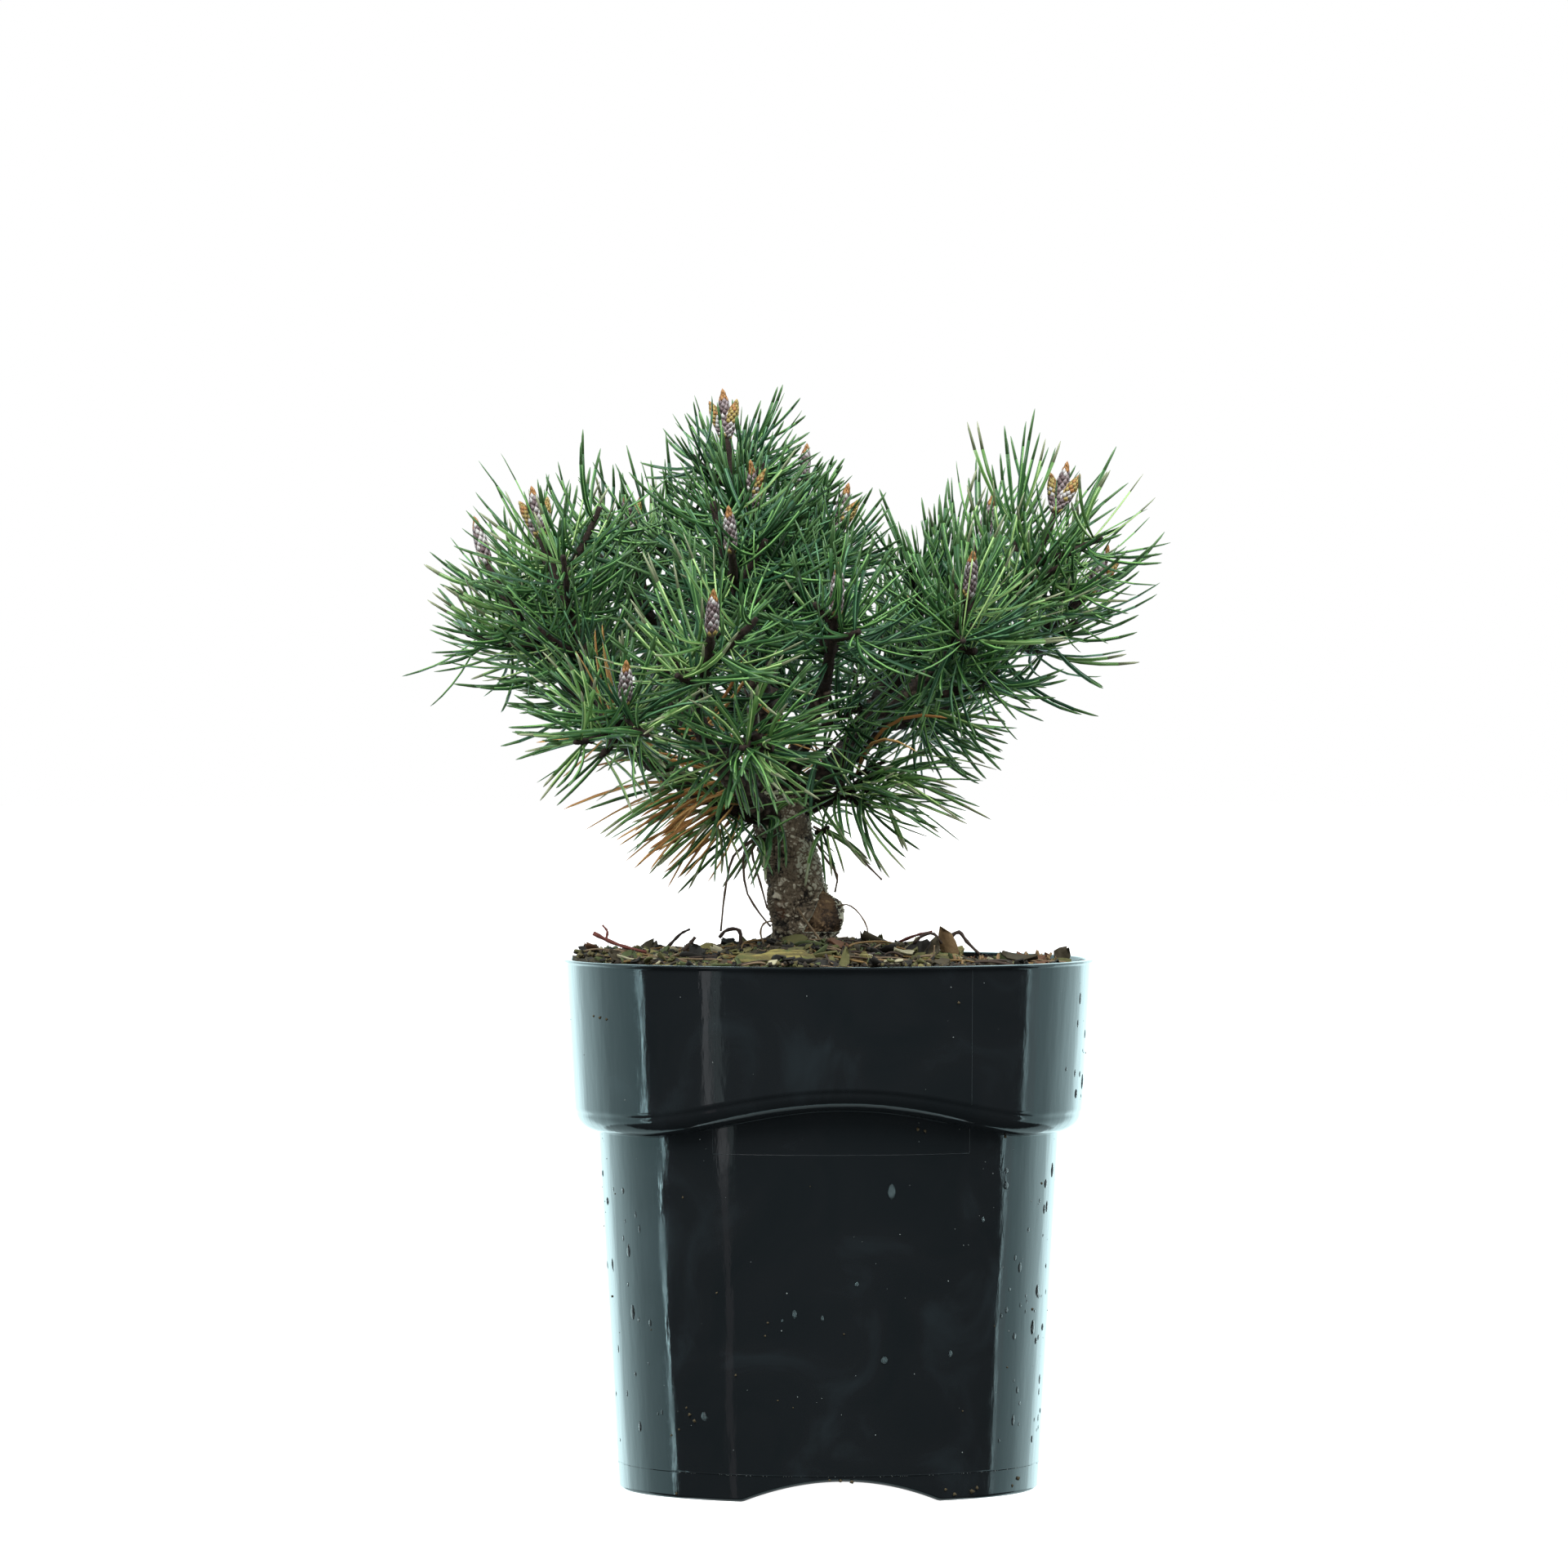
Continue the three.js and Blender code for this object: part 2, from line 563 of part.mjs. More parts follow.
// A winter bud: a blunt spindle turned on its own axis, its foot sunk in the shoot's tip.
function budSolid(foot, axis, size) {
  const outline = [[0, -0.1], [0.8, -0.1], [1, 0.5], [0, 1]];
  const points = outline.map(([across, up]) => new THREE.Vector2(across, up * size));
  const geometry = new THREE.LatheGeometry(points, 4);
  geometry.scale(BUD_RADIUS, BUD_LENGTH, BUD_RADIUS);
  geometry.applyQuaternion(new THREE.Quaternion().setFromUnitVectors(new THREE.Vector3(0, 1, 0), axis));
  geometry.translate(...foot);
  return solidOf(geometry);
}

// The buds at a shoot's tip: one in line with it and the rest splayed round that one.
function shootBuds(shoot) {
  const { axis, side } = frameAt(shoot.pathAt, 1);
  const tip = shoot.pathAt(1);
  const buds = [];
  for (let index = 0; index < shoot.buds; index += 1) {
    const splay = [0, BUD_SPLAY, -BUD_SPLAY][index];
    const lean = axis.clone().multiplyScalar(Math.cos(splay)).addScaledVector(side, Math.sin(splay));
    buds.push(budSolid(tip, lean, index === 0 ? 1 : SIDE_BUD));
  }
  return buds;
}

// The wood of one shoot, thinning from foot to tip.
function shootTube(shoot, gap = 0) {
  const radiusAt = (along) => mix(shoot.foot, shoot.end, along);
  return bentTube(shoot.pathAt, radiusAt, shoot.sides, shoot.steps, gap);
}

// A needle mass in one piece: its shoots, buds and needles, cut clear of the limbs and of the main
// shoots of the masses made before it.
function massSolid(mass, masses, limbs) {
  const parts = [];
  mass.shoots.forEach((shoot, index) => {
    const needles = shootNeedles(shoot, mass.seed + 31 * index, mass, masses, limbs);
    parts.push(shootTube(shoot), ...shootBuds(shoot), ...needles.map(needleSolid));
  });
  let whole = Manifold.union(parts);
  for (const limb of limbs) {
    whole = whole.subtract(limb.cutter);
  }
  for (const other of masses) {
    if (other.seed < mass.seed) {
      whole = whole.subtract(other.cutter);
    }
  }
  return largestBody(whole.simplify(SMOOTHING));
}

// A flat six-cornered bark chip lying on the soil.
function chipSolid(chip, soil) {
  const [long, wide] = [chip.length / 2, chip.width / 2];
  const shape = new THREE.Shape([
    [-long, 0], [-0.6 * long, -0.9 * wide], [0.7 * long, -wide],
    [long, 0.3 * wide], [0.4 * long, wide], [-0.7 * long, 0.8 * wide],
  ].map(([x, y]) => new THREE.Vector2(x, y)));
  const geometry = new THREE.ExtrudeGeometry(shape, { depth: CHIP_THICKNESS, bevelEnabled: false });
  geometry.rotateZ(chip.turn * DEGREE);
  const [x, y] = chip.at;
  geometry.translate(x, y, soilHeight(x, y) - CHIP_SUNK);
  return largestBody(solidOf(geometry).subtract(soil.translate(0, 0, CLEARANCE)));
}

// The limbs, each with its samples and the fatter copy that cuts its neighbours clear
const trunk = trunkLimb();
const limbs = [trunk, ...BOUGHS.map((row) => boughLimb(row, trunk))];
for (const limb of limbs) {
  limb.points = samplePath(limb.pathAt, 0);
}
trunk.cutter = limbSolid(trunk, CLEARANCE).add(burlSolid(CLEARANCE));

// The masses: main shoots first, then the side twigs that find room
const masses = [];
for (const limb of limbs) {
  for (const row of MASSES[limb.name] ?? []) {
    const main = mainShoot(row, limb);
    const name = `needles_${row.name}`;
    masses.push({ name, twigs: row.twigs, seed: masses.length + 1, shoots: [main] });
  }
}
for (const mass of masses) {
  mass.cutter = shootTube(mass.shoots[0], CLEARANCE);
  for (let index = 0; index < mass.twigs; index += 1) {
    const twig = sideTwig(mass.seed, index, mass.shoots[0]);
    if (twigFits(twig, mass, masses, limbs)) {
      mass.shoots.push(twig);
    }
  }
}

// Finishes: colour, roughness and metalness of each kind of part
const finishes = {
  pot: new THREE.MeshStandardMaterial({ color: '#232b31', roughness: 0.22, metalness: 0 }),
  soil: new THREE.MeshStandardMaterial({ color: '#3d3423', roughness: 0.95, metalness: 0 }),
  bark: new THREE.MeshStandardMaterial({ color: '#55483f', roughness: 0.9, metalness: 0 }),
  needles: new THREE.MeshStandardMaterial({ color: '#2c6244', roughness: 0.45, metalness: 0 }),
  chip: new THREE.MeshStandardMaterial({ color: '#6f6338', roughness: 0.9, metalness: 0 }),
};

const root = new THREE.Group();
function addPart(name, solid, finish) {
  const mesh = new THREE.Mesh(geometryOf(solid), finish);
  mesh.name = name;
  root.add(mesh);
}

const soil = soilSolid();
addPart('pot', potSolid(), finishes.pot);
addPart('soil', soil, finishes.soil);
addPart('trunk', trunkSolid(trunk), finishes.bark);

// Each bough is cut clear of the trunk and of the boughs made before it
for (const limb of limbs.slice(1)) {
  let bough = limbSolid(limb).subtract(trunk.cutter);
  for (const other of limbs.slice(1, limbs.indexOf(limb))) {
    bough = bough.subtract(other.cutter);
  }
  limb.cutter = limbSolid(limb, CLEARANCE);
  addPart(limb.name, largestBody(bough.simplify(SMOOTHING)), finishes.bark);
}
for (const mass of masses) {
  addPart(mass.name, massSolid(mass, masses, limbs), finishes.needles);
}
CHIPS.forEach((chip, index) => addPart(`bark_chip_${index + 1}`, chipSolid(chip, soil), finishes.chip));

// The origin is the middle of the underside of the whole plant's box
const box = new THREE.Box3().setFromObject(root);
const middle = box.getCenter(new THREE.Vector3());
root.position.set(-middle.x, -middle.y, -box.min.z);
root.updateMatrixWorld(true);

export default root;
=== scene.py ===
import math

import bpy
import numpy as np
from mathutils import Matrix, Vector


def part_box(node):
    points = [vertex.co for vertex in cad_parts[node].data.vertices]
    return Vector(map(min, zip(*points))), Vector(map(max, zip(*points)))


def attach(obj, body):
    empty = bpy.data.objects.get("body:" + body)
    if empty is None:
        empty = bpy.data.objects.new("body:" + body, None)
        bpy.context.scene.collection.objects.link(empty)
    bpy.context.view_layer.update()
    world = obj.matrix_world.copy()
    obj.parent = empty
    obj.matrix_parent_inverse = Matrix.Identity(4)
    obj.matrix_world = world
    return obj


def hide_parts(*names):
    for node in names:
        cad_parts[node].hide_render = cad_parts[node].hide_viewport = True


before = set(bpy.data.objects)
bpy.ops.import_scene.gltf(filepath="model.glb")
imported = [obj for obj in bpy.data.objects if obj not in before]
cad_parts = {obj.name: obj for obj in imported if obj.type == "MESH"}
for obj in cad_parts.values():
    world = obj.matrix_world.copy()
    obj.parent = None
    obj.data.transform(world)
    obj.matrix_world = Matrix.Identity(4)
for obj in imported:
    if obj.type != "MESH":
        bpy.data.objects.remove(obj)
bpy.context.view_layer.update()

# Sizes are in millimetres about the pot's axis, as the solids were made, and become metres in the
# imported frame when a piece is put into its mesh.
pot_low, pot_high = (np.array(corner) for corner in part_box("pot"))
POT_AXIS = np.array([*((pot_low + pot_high)[:2] / 2), 0.0])
MM = 0.001
GOLDEN_TURN = math.radians(137.5)
# A direction that no limb takes: the one square to it and to a limb starts the limb's rings
FRAME_GUIDE = np.array([0.31, 0.93, -0.2]) / np.linalg.norm([0.31, 0.93, -0.2])

# Pot
POT_HEIGHT = 169.5
BASE_RADIUS = 67.1
BODY_TAPER = 0.058
COLLAR_STEP = 7.2
RIM_RADIUS = 85
RIM_DEPTH = 1.1
WALL = 1.6
FOOT_WIDTH = 2.4
FLOOR_RAISE = 9
FLOOR_THICKNESS = 2
SHOULDER_HEIGHT = 6.4
COLLAR_FOOT = 114.5
WAVE_RISE = 9.5
WAVE_HALF_ANGLE = math.radians(56)
FRONT_TURN = math.radians(-86.5)
ARCH_HALF_WIDTH = 31.5
ARCH_HEIGHT = 6.8
DRAINS = 4
DRAIN_RADIUS = 5
DRAIN_RING = 42
DRAIN_SIDES = 32
MOULD_LINE_OFFSET = 40.5
MOULD_LINE_DEPTH = 0.11
MOULD_LINE_STEPS = 24
MOULD_LINE_FOOT = 110
FOOT_LINE = 8.6
FOOT_LINE_DEPTH = 0.12
RIM_ROUNDNESS = 0.7
POT_SIDES = 360

# Soil
SOIL_LEVEL = 168.4
SOIL_MOUND = 7
MOUND_SPREAD = 34
SOIL_TILT = 0.021
SEAT_RADIUS = 13
GROUND = SOIL_LEVEL + SOIL_MOUND
SETTLED = 2.4
LEFT_SETTLED = 1.8
RIGHT_SETTLED = 5
TRUNK_HEAP = 1.3
HEAP_SPREAD = 22
SOIL_RINGS, SOIL_SIDES = 120, 420

# Trunk
TRUNK_BENDS = np.array([[-7.4, 0, GROUND - 2], [-9.5, 0, 190], [-13.5, 0, 207], [-17.5, 0, 224.0]])
TRUNK_X = TRUNK_BENDS[0, 0]
TRUNK_CLEAR = 9
TRUNK_RADIUS = 9.1
ROOT_FLARE = 1.2
FORK_SWELL = 1
BURL_RADIUS = 7.4
BURL_CENTRE = np.array([-2.6, -2.6, 183])
WOUND_FACING = np.array([0.42, -0.88, 0.22]) / np.linalg.norm([0.42, -0.88, 0.22])
WOUND_DEPTH = 6.2
WOUND_HALF = 6
WOUND_SHIFT = (-2.2, 0, 0)
RUST_PLACE = (-15.5, -7, 187)
RUST_SIZE = (3, 5, 8)
TRUNK_STEPS = 300
TRUNK_PLATE = 2.5
TRUNK_FLAKE = 1.1
# Knobs: place, spread and height
KNOBS = [
    ((-17.2, -4, 188), 3.4, 1.7),
    ((-16, -6, 179), 4, 1.2),
    ((5, -3, 188), 2.4, 1.3),
    ((4.5, -6, 181), 2.2, 1.1),
    ((-2, -8, 192.5), 2.2, 1.2),
    ((-6, 7, 184), 4, 1.5),
    ((-10, -8, 206), 3, 0.8),
    ((-3, 3, 200), 3, 0.9),
]

# Boughs: place along the trunk, tip, sag, radius at foot and end
BOUGHS = {
    "leader": (1, (-26, 0, 278), 0, 5.4, 3.2),
    "bough_right": (0.86, (39, -5, 267), 5, 5, 3),
    "bough_left": (0.86, (-69, -25, 243), 11, 4.4, 2.7),
    "bough_front": (0.8, (-42, -55, 247), 10, 4.2, 2.7),
    "bough_front_right": (0.95, (-2, -36, 257), 5, 3.8, 2.6),
    "bough_back_left": (0.84, (-50, 45, 252), 9, 4.4, 2.8),
    "bough_back": (0.96, (-18, 50, 258), 7, 4.2, 2.7),
    "bough_back_right": (0.8, (15, 44, 251), 8, 4.2, 2.7),
}
BOUGH_RINGS, BOUGH_SIDES = 90, 40
NEEDLE_SCAR = 2.6

# Needle masses: limb, name, place along the limb, tip, sag, side twigs, buds, spread in degrees and
# the share of the full needle length that its needles reach
MASSES = [
    ("trunk", "low_right", 0.82, (16, -16, 230), 4, 1, 0, 48, 0.94),
    ("trunk", "low_left", 0.78, (-38, -18, 221), 3, 1, 0, 54, 0.9),
    ("trunk", "low_back", 0.82, (-22, 38, 225), 4, 1, 1, 54, 0.8),
    ("leader", "top", 1, (-33, 5, 337), 0, 2, 3, 52, 0.7),
    ("leader", "top_back", 0.97, (-9, 22, 320), 6, 1, 1, 44, 0.5),
    ("leader", "top_right", 0.93, (2, -5, 306), 8, 1, 2, 42, 0.78),
    ("leader", "top_front", 0.97, (-25, -22, 314), 4, 1, 2, 58, 0.9),
    ("leader", "high_front", 0.72, (-31, -55, 300), 12, 2, 1, 60, 1),
    ("bough_right", "right_upper", 1, (73, 0, 313), 14, 2, 3, 54, 0.94),
    ("bough_right", "right_front", 0.9, (44, -50, 286), 9, 2, 1, 58, 0.95),
    ("bough_right", "right_far", 0.97, (84, 15, 287), 13, 1, 2, 52, 0.9),
    ("bough_right", "right_low", 0.8, (54, -18, 262), 8, 1, 0, 50, 0.8),
    ("bough_left", "left_upper", 1, (-92, -12, 305), 0, 2, 3, 58, 0.9),
    ("bough_left", "left_far", 0.95, (-110, 12, 296), 12, 1, 1, 60, 0.88),
    ("bough_left", "left_low", 0.9, (-88, -6, 272), 9, 1, 0, 48, 0.74),
    ("bough_left", "left_front", 0.97, (-64, -84, 252), 6, 2, 1, 58, 0.84),
    ("bough_front", "front", 1, (-37, -90, 274), 4, 2, 1, 62, 1),
    ("bough_front", "front_low", 0.85, (-22, -80, 242), 4, 1, 0, 54, 0.86),
    ("bough_front_right", "centre_right", 1, (2, -62, 280), 5, 2, 1, 60, 1),
    ("bough_back_left", "back_left_upper", 1, (-64, 42, 305), 5, 2, 2, 56, 0.92),
    ("bough_back_left", "back_left", 0.9, (-86, 54, 268), 8, 2, 1, 54, 0.88),
    ("bough_back_left", "back_left_low", 0.95, (-58, 80, 253), 6, 1, 1, 54, 0.85),
    ("bough_back", "back", 1, (-24, 76, 294), 5, 2, 2, 56, 0.95),
    ("bough_back", "back_low", 0.85, (-16, 90, 254), 6, 2, 1, 56, 0.9),
    ("bough_back_right", "back_right_upper", 0.95, (50, 34, 304), 10, 1, 1, 46, 0.86),
    ("bough_back_right", "back_right", 1, (24, 70, 272), 5, 2, 1, 54, 0.92),
    ("bough_back_right", "back_right_low", 0.85, (44, 60, 252), 5, 1, 1, 50, 0.8),
]
STEM_FOOT, STEM_END = 2.3, 1.4
TWIG_FOOT, TWIG_END = 1.5, 1.0
SPUR_FOOT, SPUR_END = 1.1, 0.7
TWIG_LEAN = math.radians(52)
TWIG_SHARE = 0.4
TWIG_START = 0.46
TWIG_STEP = 0.24
TWIG_LIFT = 0.12
TWIG_ROOM = 8
SHOOT_ROOM = 4
TWIG_TRIES = 5
FINE_TWIG_SHARE = 0.28
TWIG_RINGS, TWIG_SIDES = 24, 10
NEEDLE_LENGTH = 44
NEEDLE_WIDTH = 1.16
PAIRS_PER_MM = 0.7
MAIN_BARE, TWIG_BARE, SPUR_BARE = 0.3, 0.15, 0.35
SHED_BELOW = 0.66
BUD_LENGTH = 17
BUD_RADIUS = 2.3
BUD_SPLAY = math.radians(22)
BUD_UPRIGHT = 0.9

# Spurs on the trunk and the boughs: foot, tip, spread in degrees, size of the needles, how far they
# hang, pairs of needles and the share of them that is dead
SPURS = [
    ((-16, -6, 207), (-25, -9, 209), 60, 0.56, 0.42, 7, 0.3),
    ((-16, -8, 216), (-19, -14, 217), 60, 0.5, 0.4, 7, 0.3),
    ((-4, -5, 210), (0, -12, 212), 60, 0.6, 0.4, 6, 0),
    ((12, -2, 241), (8, -12, 262), 60, 0.7, 0, 14, 0),
    ((-6, -20, 243), (10, -22, 250), 60, 0.62, 0.1, 14, 0),
    ((-22, -3, 250), (-8, -16, 262), 62, 0.8, 0, 18, 0),
    ((-24, -3, 262), (-12, -22, 274), 62, 0.8, 0, 18, 0),
    ((24, -4, 250), (32, -20, 250), 60, 0.74, 0.1, 14, 0),
    ((-8, -16, 232), (2, -28, 240), 60, 0.7, 0.2, 12, 0),
    ((-42, -14, 236), (-50, -24, 244), 60, 0.8, 0.1, 14, 0),
    ((-20, -6, 219), (-38, -14, 220), 36, 0.98, 0.2, 15, 0.74),
    ((-22, -10, 224), (-34, -24, 228), 40, 0.8, 0.15, 11, 0.36),
    ((-30, -8, 222), (-50, -14, 227), 42, 1.15, 0.3, 11, 0.1),
    ((2, -8, 226), (18, -14, 233), 38, 1.1, 0.25, 9, 0),
    ((60, 2, 300), (61, 2, 312), 26, 0.95, -0.1, 6, 0),
    ((-50, 20, 290), (-56, 14, 305), 48, 0.95, -0.05, 16, 0),
]


# Numbers and noise
def chance(seed, k):
    """The solids' repeatable number from 0 to 1: the fraction of a large multiple of a sine."""
    wave = np.sin(seed * 12.9898 + np.asarray(k) * 78.233) * 43758.5453
    return wave - np.floor(wave)


def lattice(cells, seed):
    """A number from 0 to 1 for each whole-numbered cell, by mixing its three integers."""
    mixed = cells[..., 0] * 374761393 + cells[..., 1] * 668265263 + cells[..., 2] * 2147483647 + seed * 97
    mixed = (mixed ^ (mixed >> 13)) * 1274126177
    return ((mixed ^ (mixed >> 16)) & 0xFFFFFF) / 0xFFFFFF


def value_noise(points, size, seed):
    """Smooth noise from -1 to 1: lattice numbers at cell corners, blended by 3t^2 - 2t^3 in each axis."""
    scaled = points / size
    cell = np.floor(scaled).astype(np.int64)
    part = scaled - cell
    part = part * part * (3 - 2 * part)
    total = np.zeros(points.shape[:-1])
    for corner in np.ndindex(2, 2, 2):
        weight = np.prod(np.where(np.array(corner) == 1, part, 1 - part), axis=-1)
        total += weight * lattice(cell + np.array(corner), seed)
    return 2 * total - 1


def rough_noise(points, size, seed, layers=4):
    """Layers of value noise, each at half the size and half the height of the one before."""
    return sum(value_noise(points, size / 2 ** i, seed + i) / 2 ** i for i in range(layers))


def plates(points, size, seed):
    """Scaly plates: one feature point in each cell of a cube lattice. Returns the difference of the
    distances to the second nearest and the nearest one (0 in the cracks), and the nearest one's own
    number from 0 to 1."""
    scaled = points / size
    cell = np.floor(scaled).astype(np.int64)
    first = np.full(points.shape[:-1], 9.0)
    second = first.copy()
    owner = np.zeros(points.shape[:-1])
    for step in np.ndindex(3, 3, 3):
        near = cell + np.array(step) - 1
        spot = near + np.stack([lattice(near, seed + i) for i in range(3)], -1)
        away = np.linalg.norm(spot - scaled, axis=-1)
        second = np.minimum(second, np.maximum(first, away))
        owner = np.where(away < first, lattice(near, seed + 7), owner)
        first = np.minimum(first, away)
    return second - first, owner


def smooth_step(low, high, value):
    """0 below low, 1 above high and 3t^2 - 2t^3 between them."""
    part = np.clip((value - low) / (high - low), 0, 1)
    return part * part * (3 - 2 * part)


def signed_power(value, power):
    """The power of the value's size, with the value's sign."""
    return np.sign(value) * np.abs(value) ** power


def unit(vectors):
    """Each vector over its own length."""
    return vectors / np.linalg.norm(vectors, axis=-1, keepdims=True)


# Paths
def sag_path(foot, tip, sag):
    """The solids' limb path: (1-t)^2 foot + 2t(1-t) middle + t^2 tip, with the middle hung by sag."""
    foot, tip = np.asarray(foot, float), np.asarray(tip, float)
    middle = (foot + tip) / 2 - np.array([0, 0, sag])

    def path(along):
        t = np.asarray(along, float)[..., None]
        return (1 - t) ** 2 * foot + 2 * t * (1 - t) * middle + t * t * tip

    return path


def trunk_path(along):
    """The cubic curve from the ground to the fork."""
    t = np.asarray(along, float)[..., None]
    a, b, c, d = TRUNK_BENDS
    return (1 - t) ** 3 * a + 3 * t * (1 - t) ** 2 * b + 3 * t * t * (1 - t) * c + t ** 3 * d


def trunk_radius(along):
    """The solids' radius: even, with a root flare by the sixth power of the way down and a swelling at
    the fork by the eighth power of the way up."""
    return TRUNK_RADIUS + ROOT_FLARE * (1 - along) ** 6 + FORK_SWELL * along ** 8


def frames_at(path, along):
    """Direction of a path and the two directions square to it, as the solids take them."""
    along = np.asarray(along, float)
    axis = unit(path(np.minimum(1, along + 0.01)) - path(np.maximum(0, along - 0.01)))
    side = unit(np.cross(FRAME_GUIDE, axis))
    return axis, side, np.cross(axis, side)


def away_from(samples, points):
    """Distance from each point to the nearest stretch of a line of samples."""
    start, stretch = samples[:-1], samples[1:] - samples[:-1]
    reach = points[..., None, :] - start
    share = np.clip((reach * stretch).sum(-1) / (stretch ** 2).sum(-1), 0, 1)
    return np.linalg.norm(reach - share[..., None] * stretch, axis=-1).min(-1)


# Meshes
def grid_faces(rows, columns):
    """Quads of a grid that closes round: point (r, c) is number r * columns + c."""
    r, c = np.meshgrid(np.arange(rows - 1), np.arange(columns), indexing="ij")
    n = (c + 1) % columns
    quads = [r * columns + c, r * columns + n, (r + 1) * columns + n, (r + 1) * columns + c]
    return np.stack(quads, -1).reshape(-1, 4)


def tube_faces(rows, columns):
    """A closed-round grid with a flat face over each end."""
    ring = np.arange(columns)
    return [grid_faces(rows, columns), ring[::-1][None], (ring + (rows - 1) * columns)[None]]


def repeat_faces(faces, points_each, count):
    """The same faces for each of a row of equal pieces, each with its own points."""
    step = np.arange(count) * points_each
    return [(rows[None] + step[:, None, None]).reshape(-1, rows.shape[1]) for rows in faces]


def many_tubes(rows, columns, count):
    """The faces of equal tubes, one after the other."""
    return repeat_faces(tube_faces(rows, columns), rows * columns, count)


def put_mesh(name, points, faces, materials, replaces=(), tints=None, marks=None):
    """Puts points in millimetres and arrays of corner numbers into a mesh that rides on the root.
    tints gives each face's material number, marks each point's value of a named attribute."""
    points = points.reshape(-1, 3)
    mesh = bpy.data.meshes.new(name)
    corners = np.concatenate([rows.ravel() for rows in faces]).astype(np.int32)
    sizes = np.concatenate([np.full(len(rows), rows.shape[1]) for rows in faces])
    mesh.vertices.add(len(points))
    mesh.vertices.foreach_set("co", (points * MM + POT_AXIS).astype(np.float32).ravel())
    mesh.loops.add(len(corners))
    mesh.loops.foreach_set("vertex_index", corners)
    mesh.polygons.add(len(sizes))
    mesh.polygons.foreach_set("loop_start", (np.cumsum(sizes) - sizes).astype(np.int32))
    for material in materials:
        mesh.materials.append(material)
    if tints is not None:
        mesh.polygons.foreach_set("material_index", tints.astype(np.int32))
    mesh.update(calc_edges=True)
    mesh.shade_smooth()
    for label, values in (marks or {}).items():
        mesh.attributes.new(label, "FLOAT", "POINT").data.foreach_set("value", values.astype(np.float32))
    piece = bpy.data.objects.new(name, mesh)
    bpy.context.scene.collection.objects.link(piece)
    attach(piece, "root")
    if replaces:
        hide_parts(*replaces)
    return piece


# Materials
def linear(hex_code, alpha=1.0):
    """An sRGB hex colour as linear light."""
    parts = [int(hex_code[i:i + 2], 16) / 255 for i in (1, 3, 5)]
    return (*(p / 12.92 if p <= 0.04045 else ((p + 0.055) / 1.055) ** 2.4 for p in parts), alpha)


def add(tree, kind, inputs=None, **settings):
    """Adds a node: settings are its properties, inputs its sockets, each a value or another socket."""
    made = tree.nodes.new(kind)
    for name, value in settings.items():
        setattr(made, name, value)
    for name, value in (inputs or {}).items():
        if isinstance(value, bpy.types.NodeSocket):
            tree.links.new(value, made.inputs[name])
        else:
            made.inputs[name].default_value = value
    return made


def finish_of(name, colour, **sockets):
    """A material with one Principled shader: returns the material, its tree, the shader and the
    object coordinates in millimetres."""
    material = bpy.data.materials.new(name)
    material.use_nodes = True
    tree = material.node_tree
    shader = tree.nodes["Principled BSDF"]
    shader.inputs["Base Color"].default_value = linear(colour)
    for socket, value in sockets.items():
        shader.inputs[socket.replace("_", " ")].default_value = value
    place = add(tree, "ShaderNodeTexCoord").outputs["Object"]
    scale = add(tree, "ShaderNodeMapping", {"Vector": place, "Scale": (1000, 1000, 1000)})
    return material, tree, shader, scale.outputs["Vector"]


def colour_ramp(tree, value, stops):
    """A ramp of (place, hex) stops read at a value."""
    ramp = add(tree, "ShaderNodeValToRGB", {"Fac": value})
    while len(ramp.color_ramp.elements) < len(stops):
        ramp.color_ramp.elements.new(0.5)
    for element, (place, colour) in zip(ramp.color_ramp.elements, stops):
        element.position = place
        element.color = linear(colour)
    return ramp.outputs["Color"]


def pot_finish():
    """Injection-moulded polypropylene, dyed dark blue-grey: smooth and glossy, with faint smears of
    dried water and dust that dull it in patches, and the slow waves of a thin moulded wall."""
    # The specular tint colours every reflection pale cyan: a painted tint of the mirrored light, not the
    # plastic's own
    material, tree, shader, place = finish_of(
        "moulded_polypropylene", "#16191b", IOR=1.5, Specular_Tint=linear("#c2e6ea"))
    smears = add(tree, "ShaderNodeTexNoise",
                 {"Vector": place, "Scale": 0.045, "Detail": 6.0, "Roughness": 0.62})
    roughness = add(tree, "ShaderNodeMapRange", {
        "Value": smears.outputs["Fac"], "From Min": 0.38, "From Max": 0.68, "To Min": 0.055, "To Max": 0.15})
    tree.links.new(roughness.outputs["Result"], shader.inputs["Roughness"])
    film = add(tree, "ShaderNodeTexNoise", {"Vector": place, "Scale": 0.03, "Detail": 5.0, "Distortion": 1.2})
    colour = colour_ramp(tree, film.outputs["Fac"], [(0.3, "#131719"), (0.55, "#16191b"), (0.8, "#1e2427")])
    tree.links.new(colour, shader.inputs["Base Color"])
    tall = add(tree, "ShaderNodeVectorMath", {0: place, 1: (1, 1, 0.25)}, operation="MULTIPLY")
    waves = add(tree, "ShaderNodeTexNoise", {"Vector": tall.outputs["Vector"], "Scale": 0.11, "Detail": 5.0})
    bump = add(tree, "ShaderNodeBump", {"Height": waves.outputs["Fac"], "Strength": 0.18, "Distance": 0.001})
    tree.links.new(bump.outputs["Normal"], shader.inputs["Normal"])
    return material


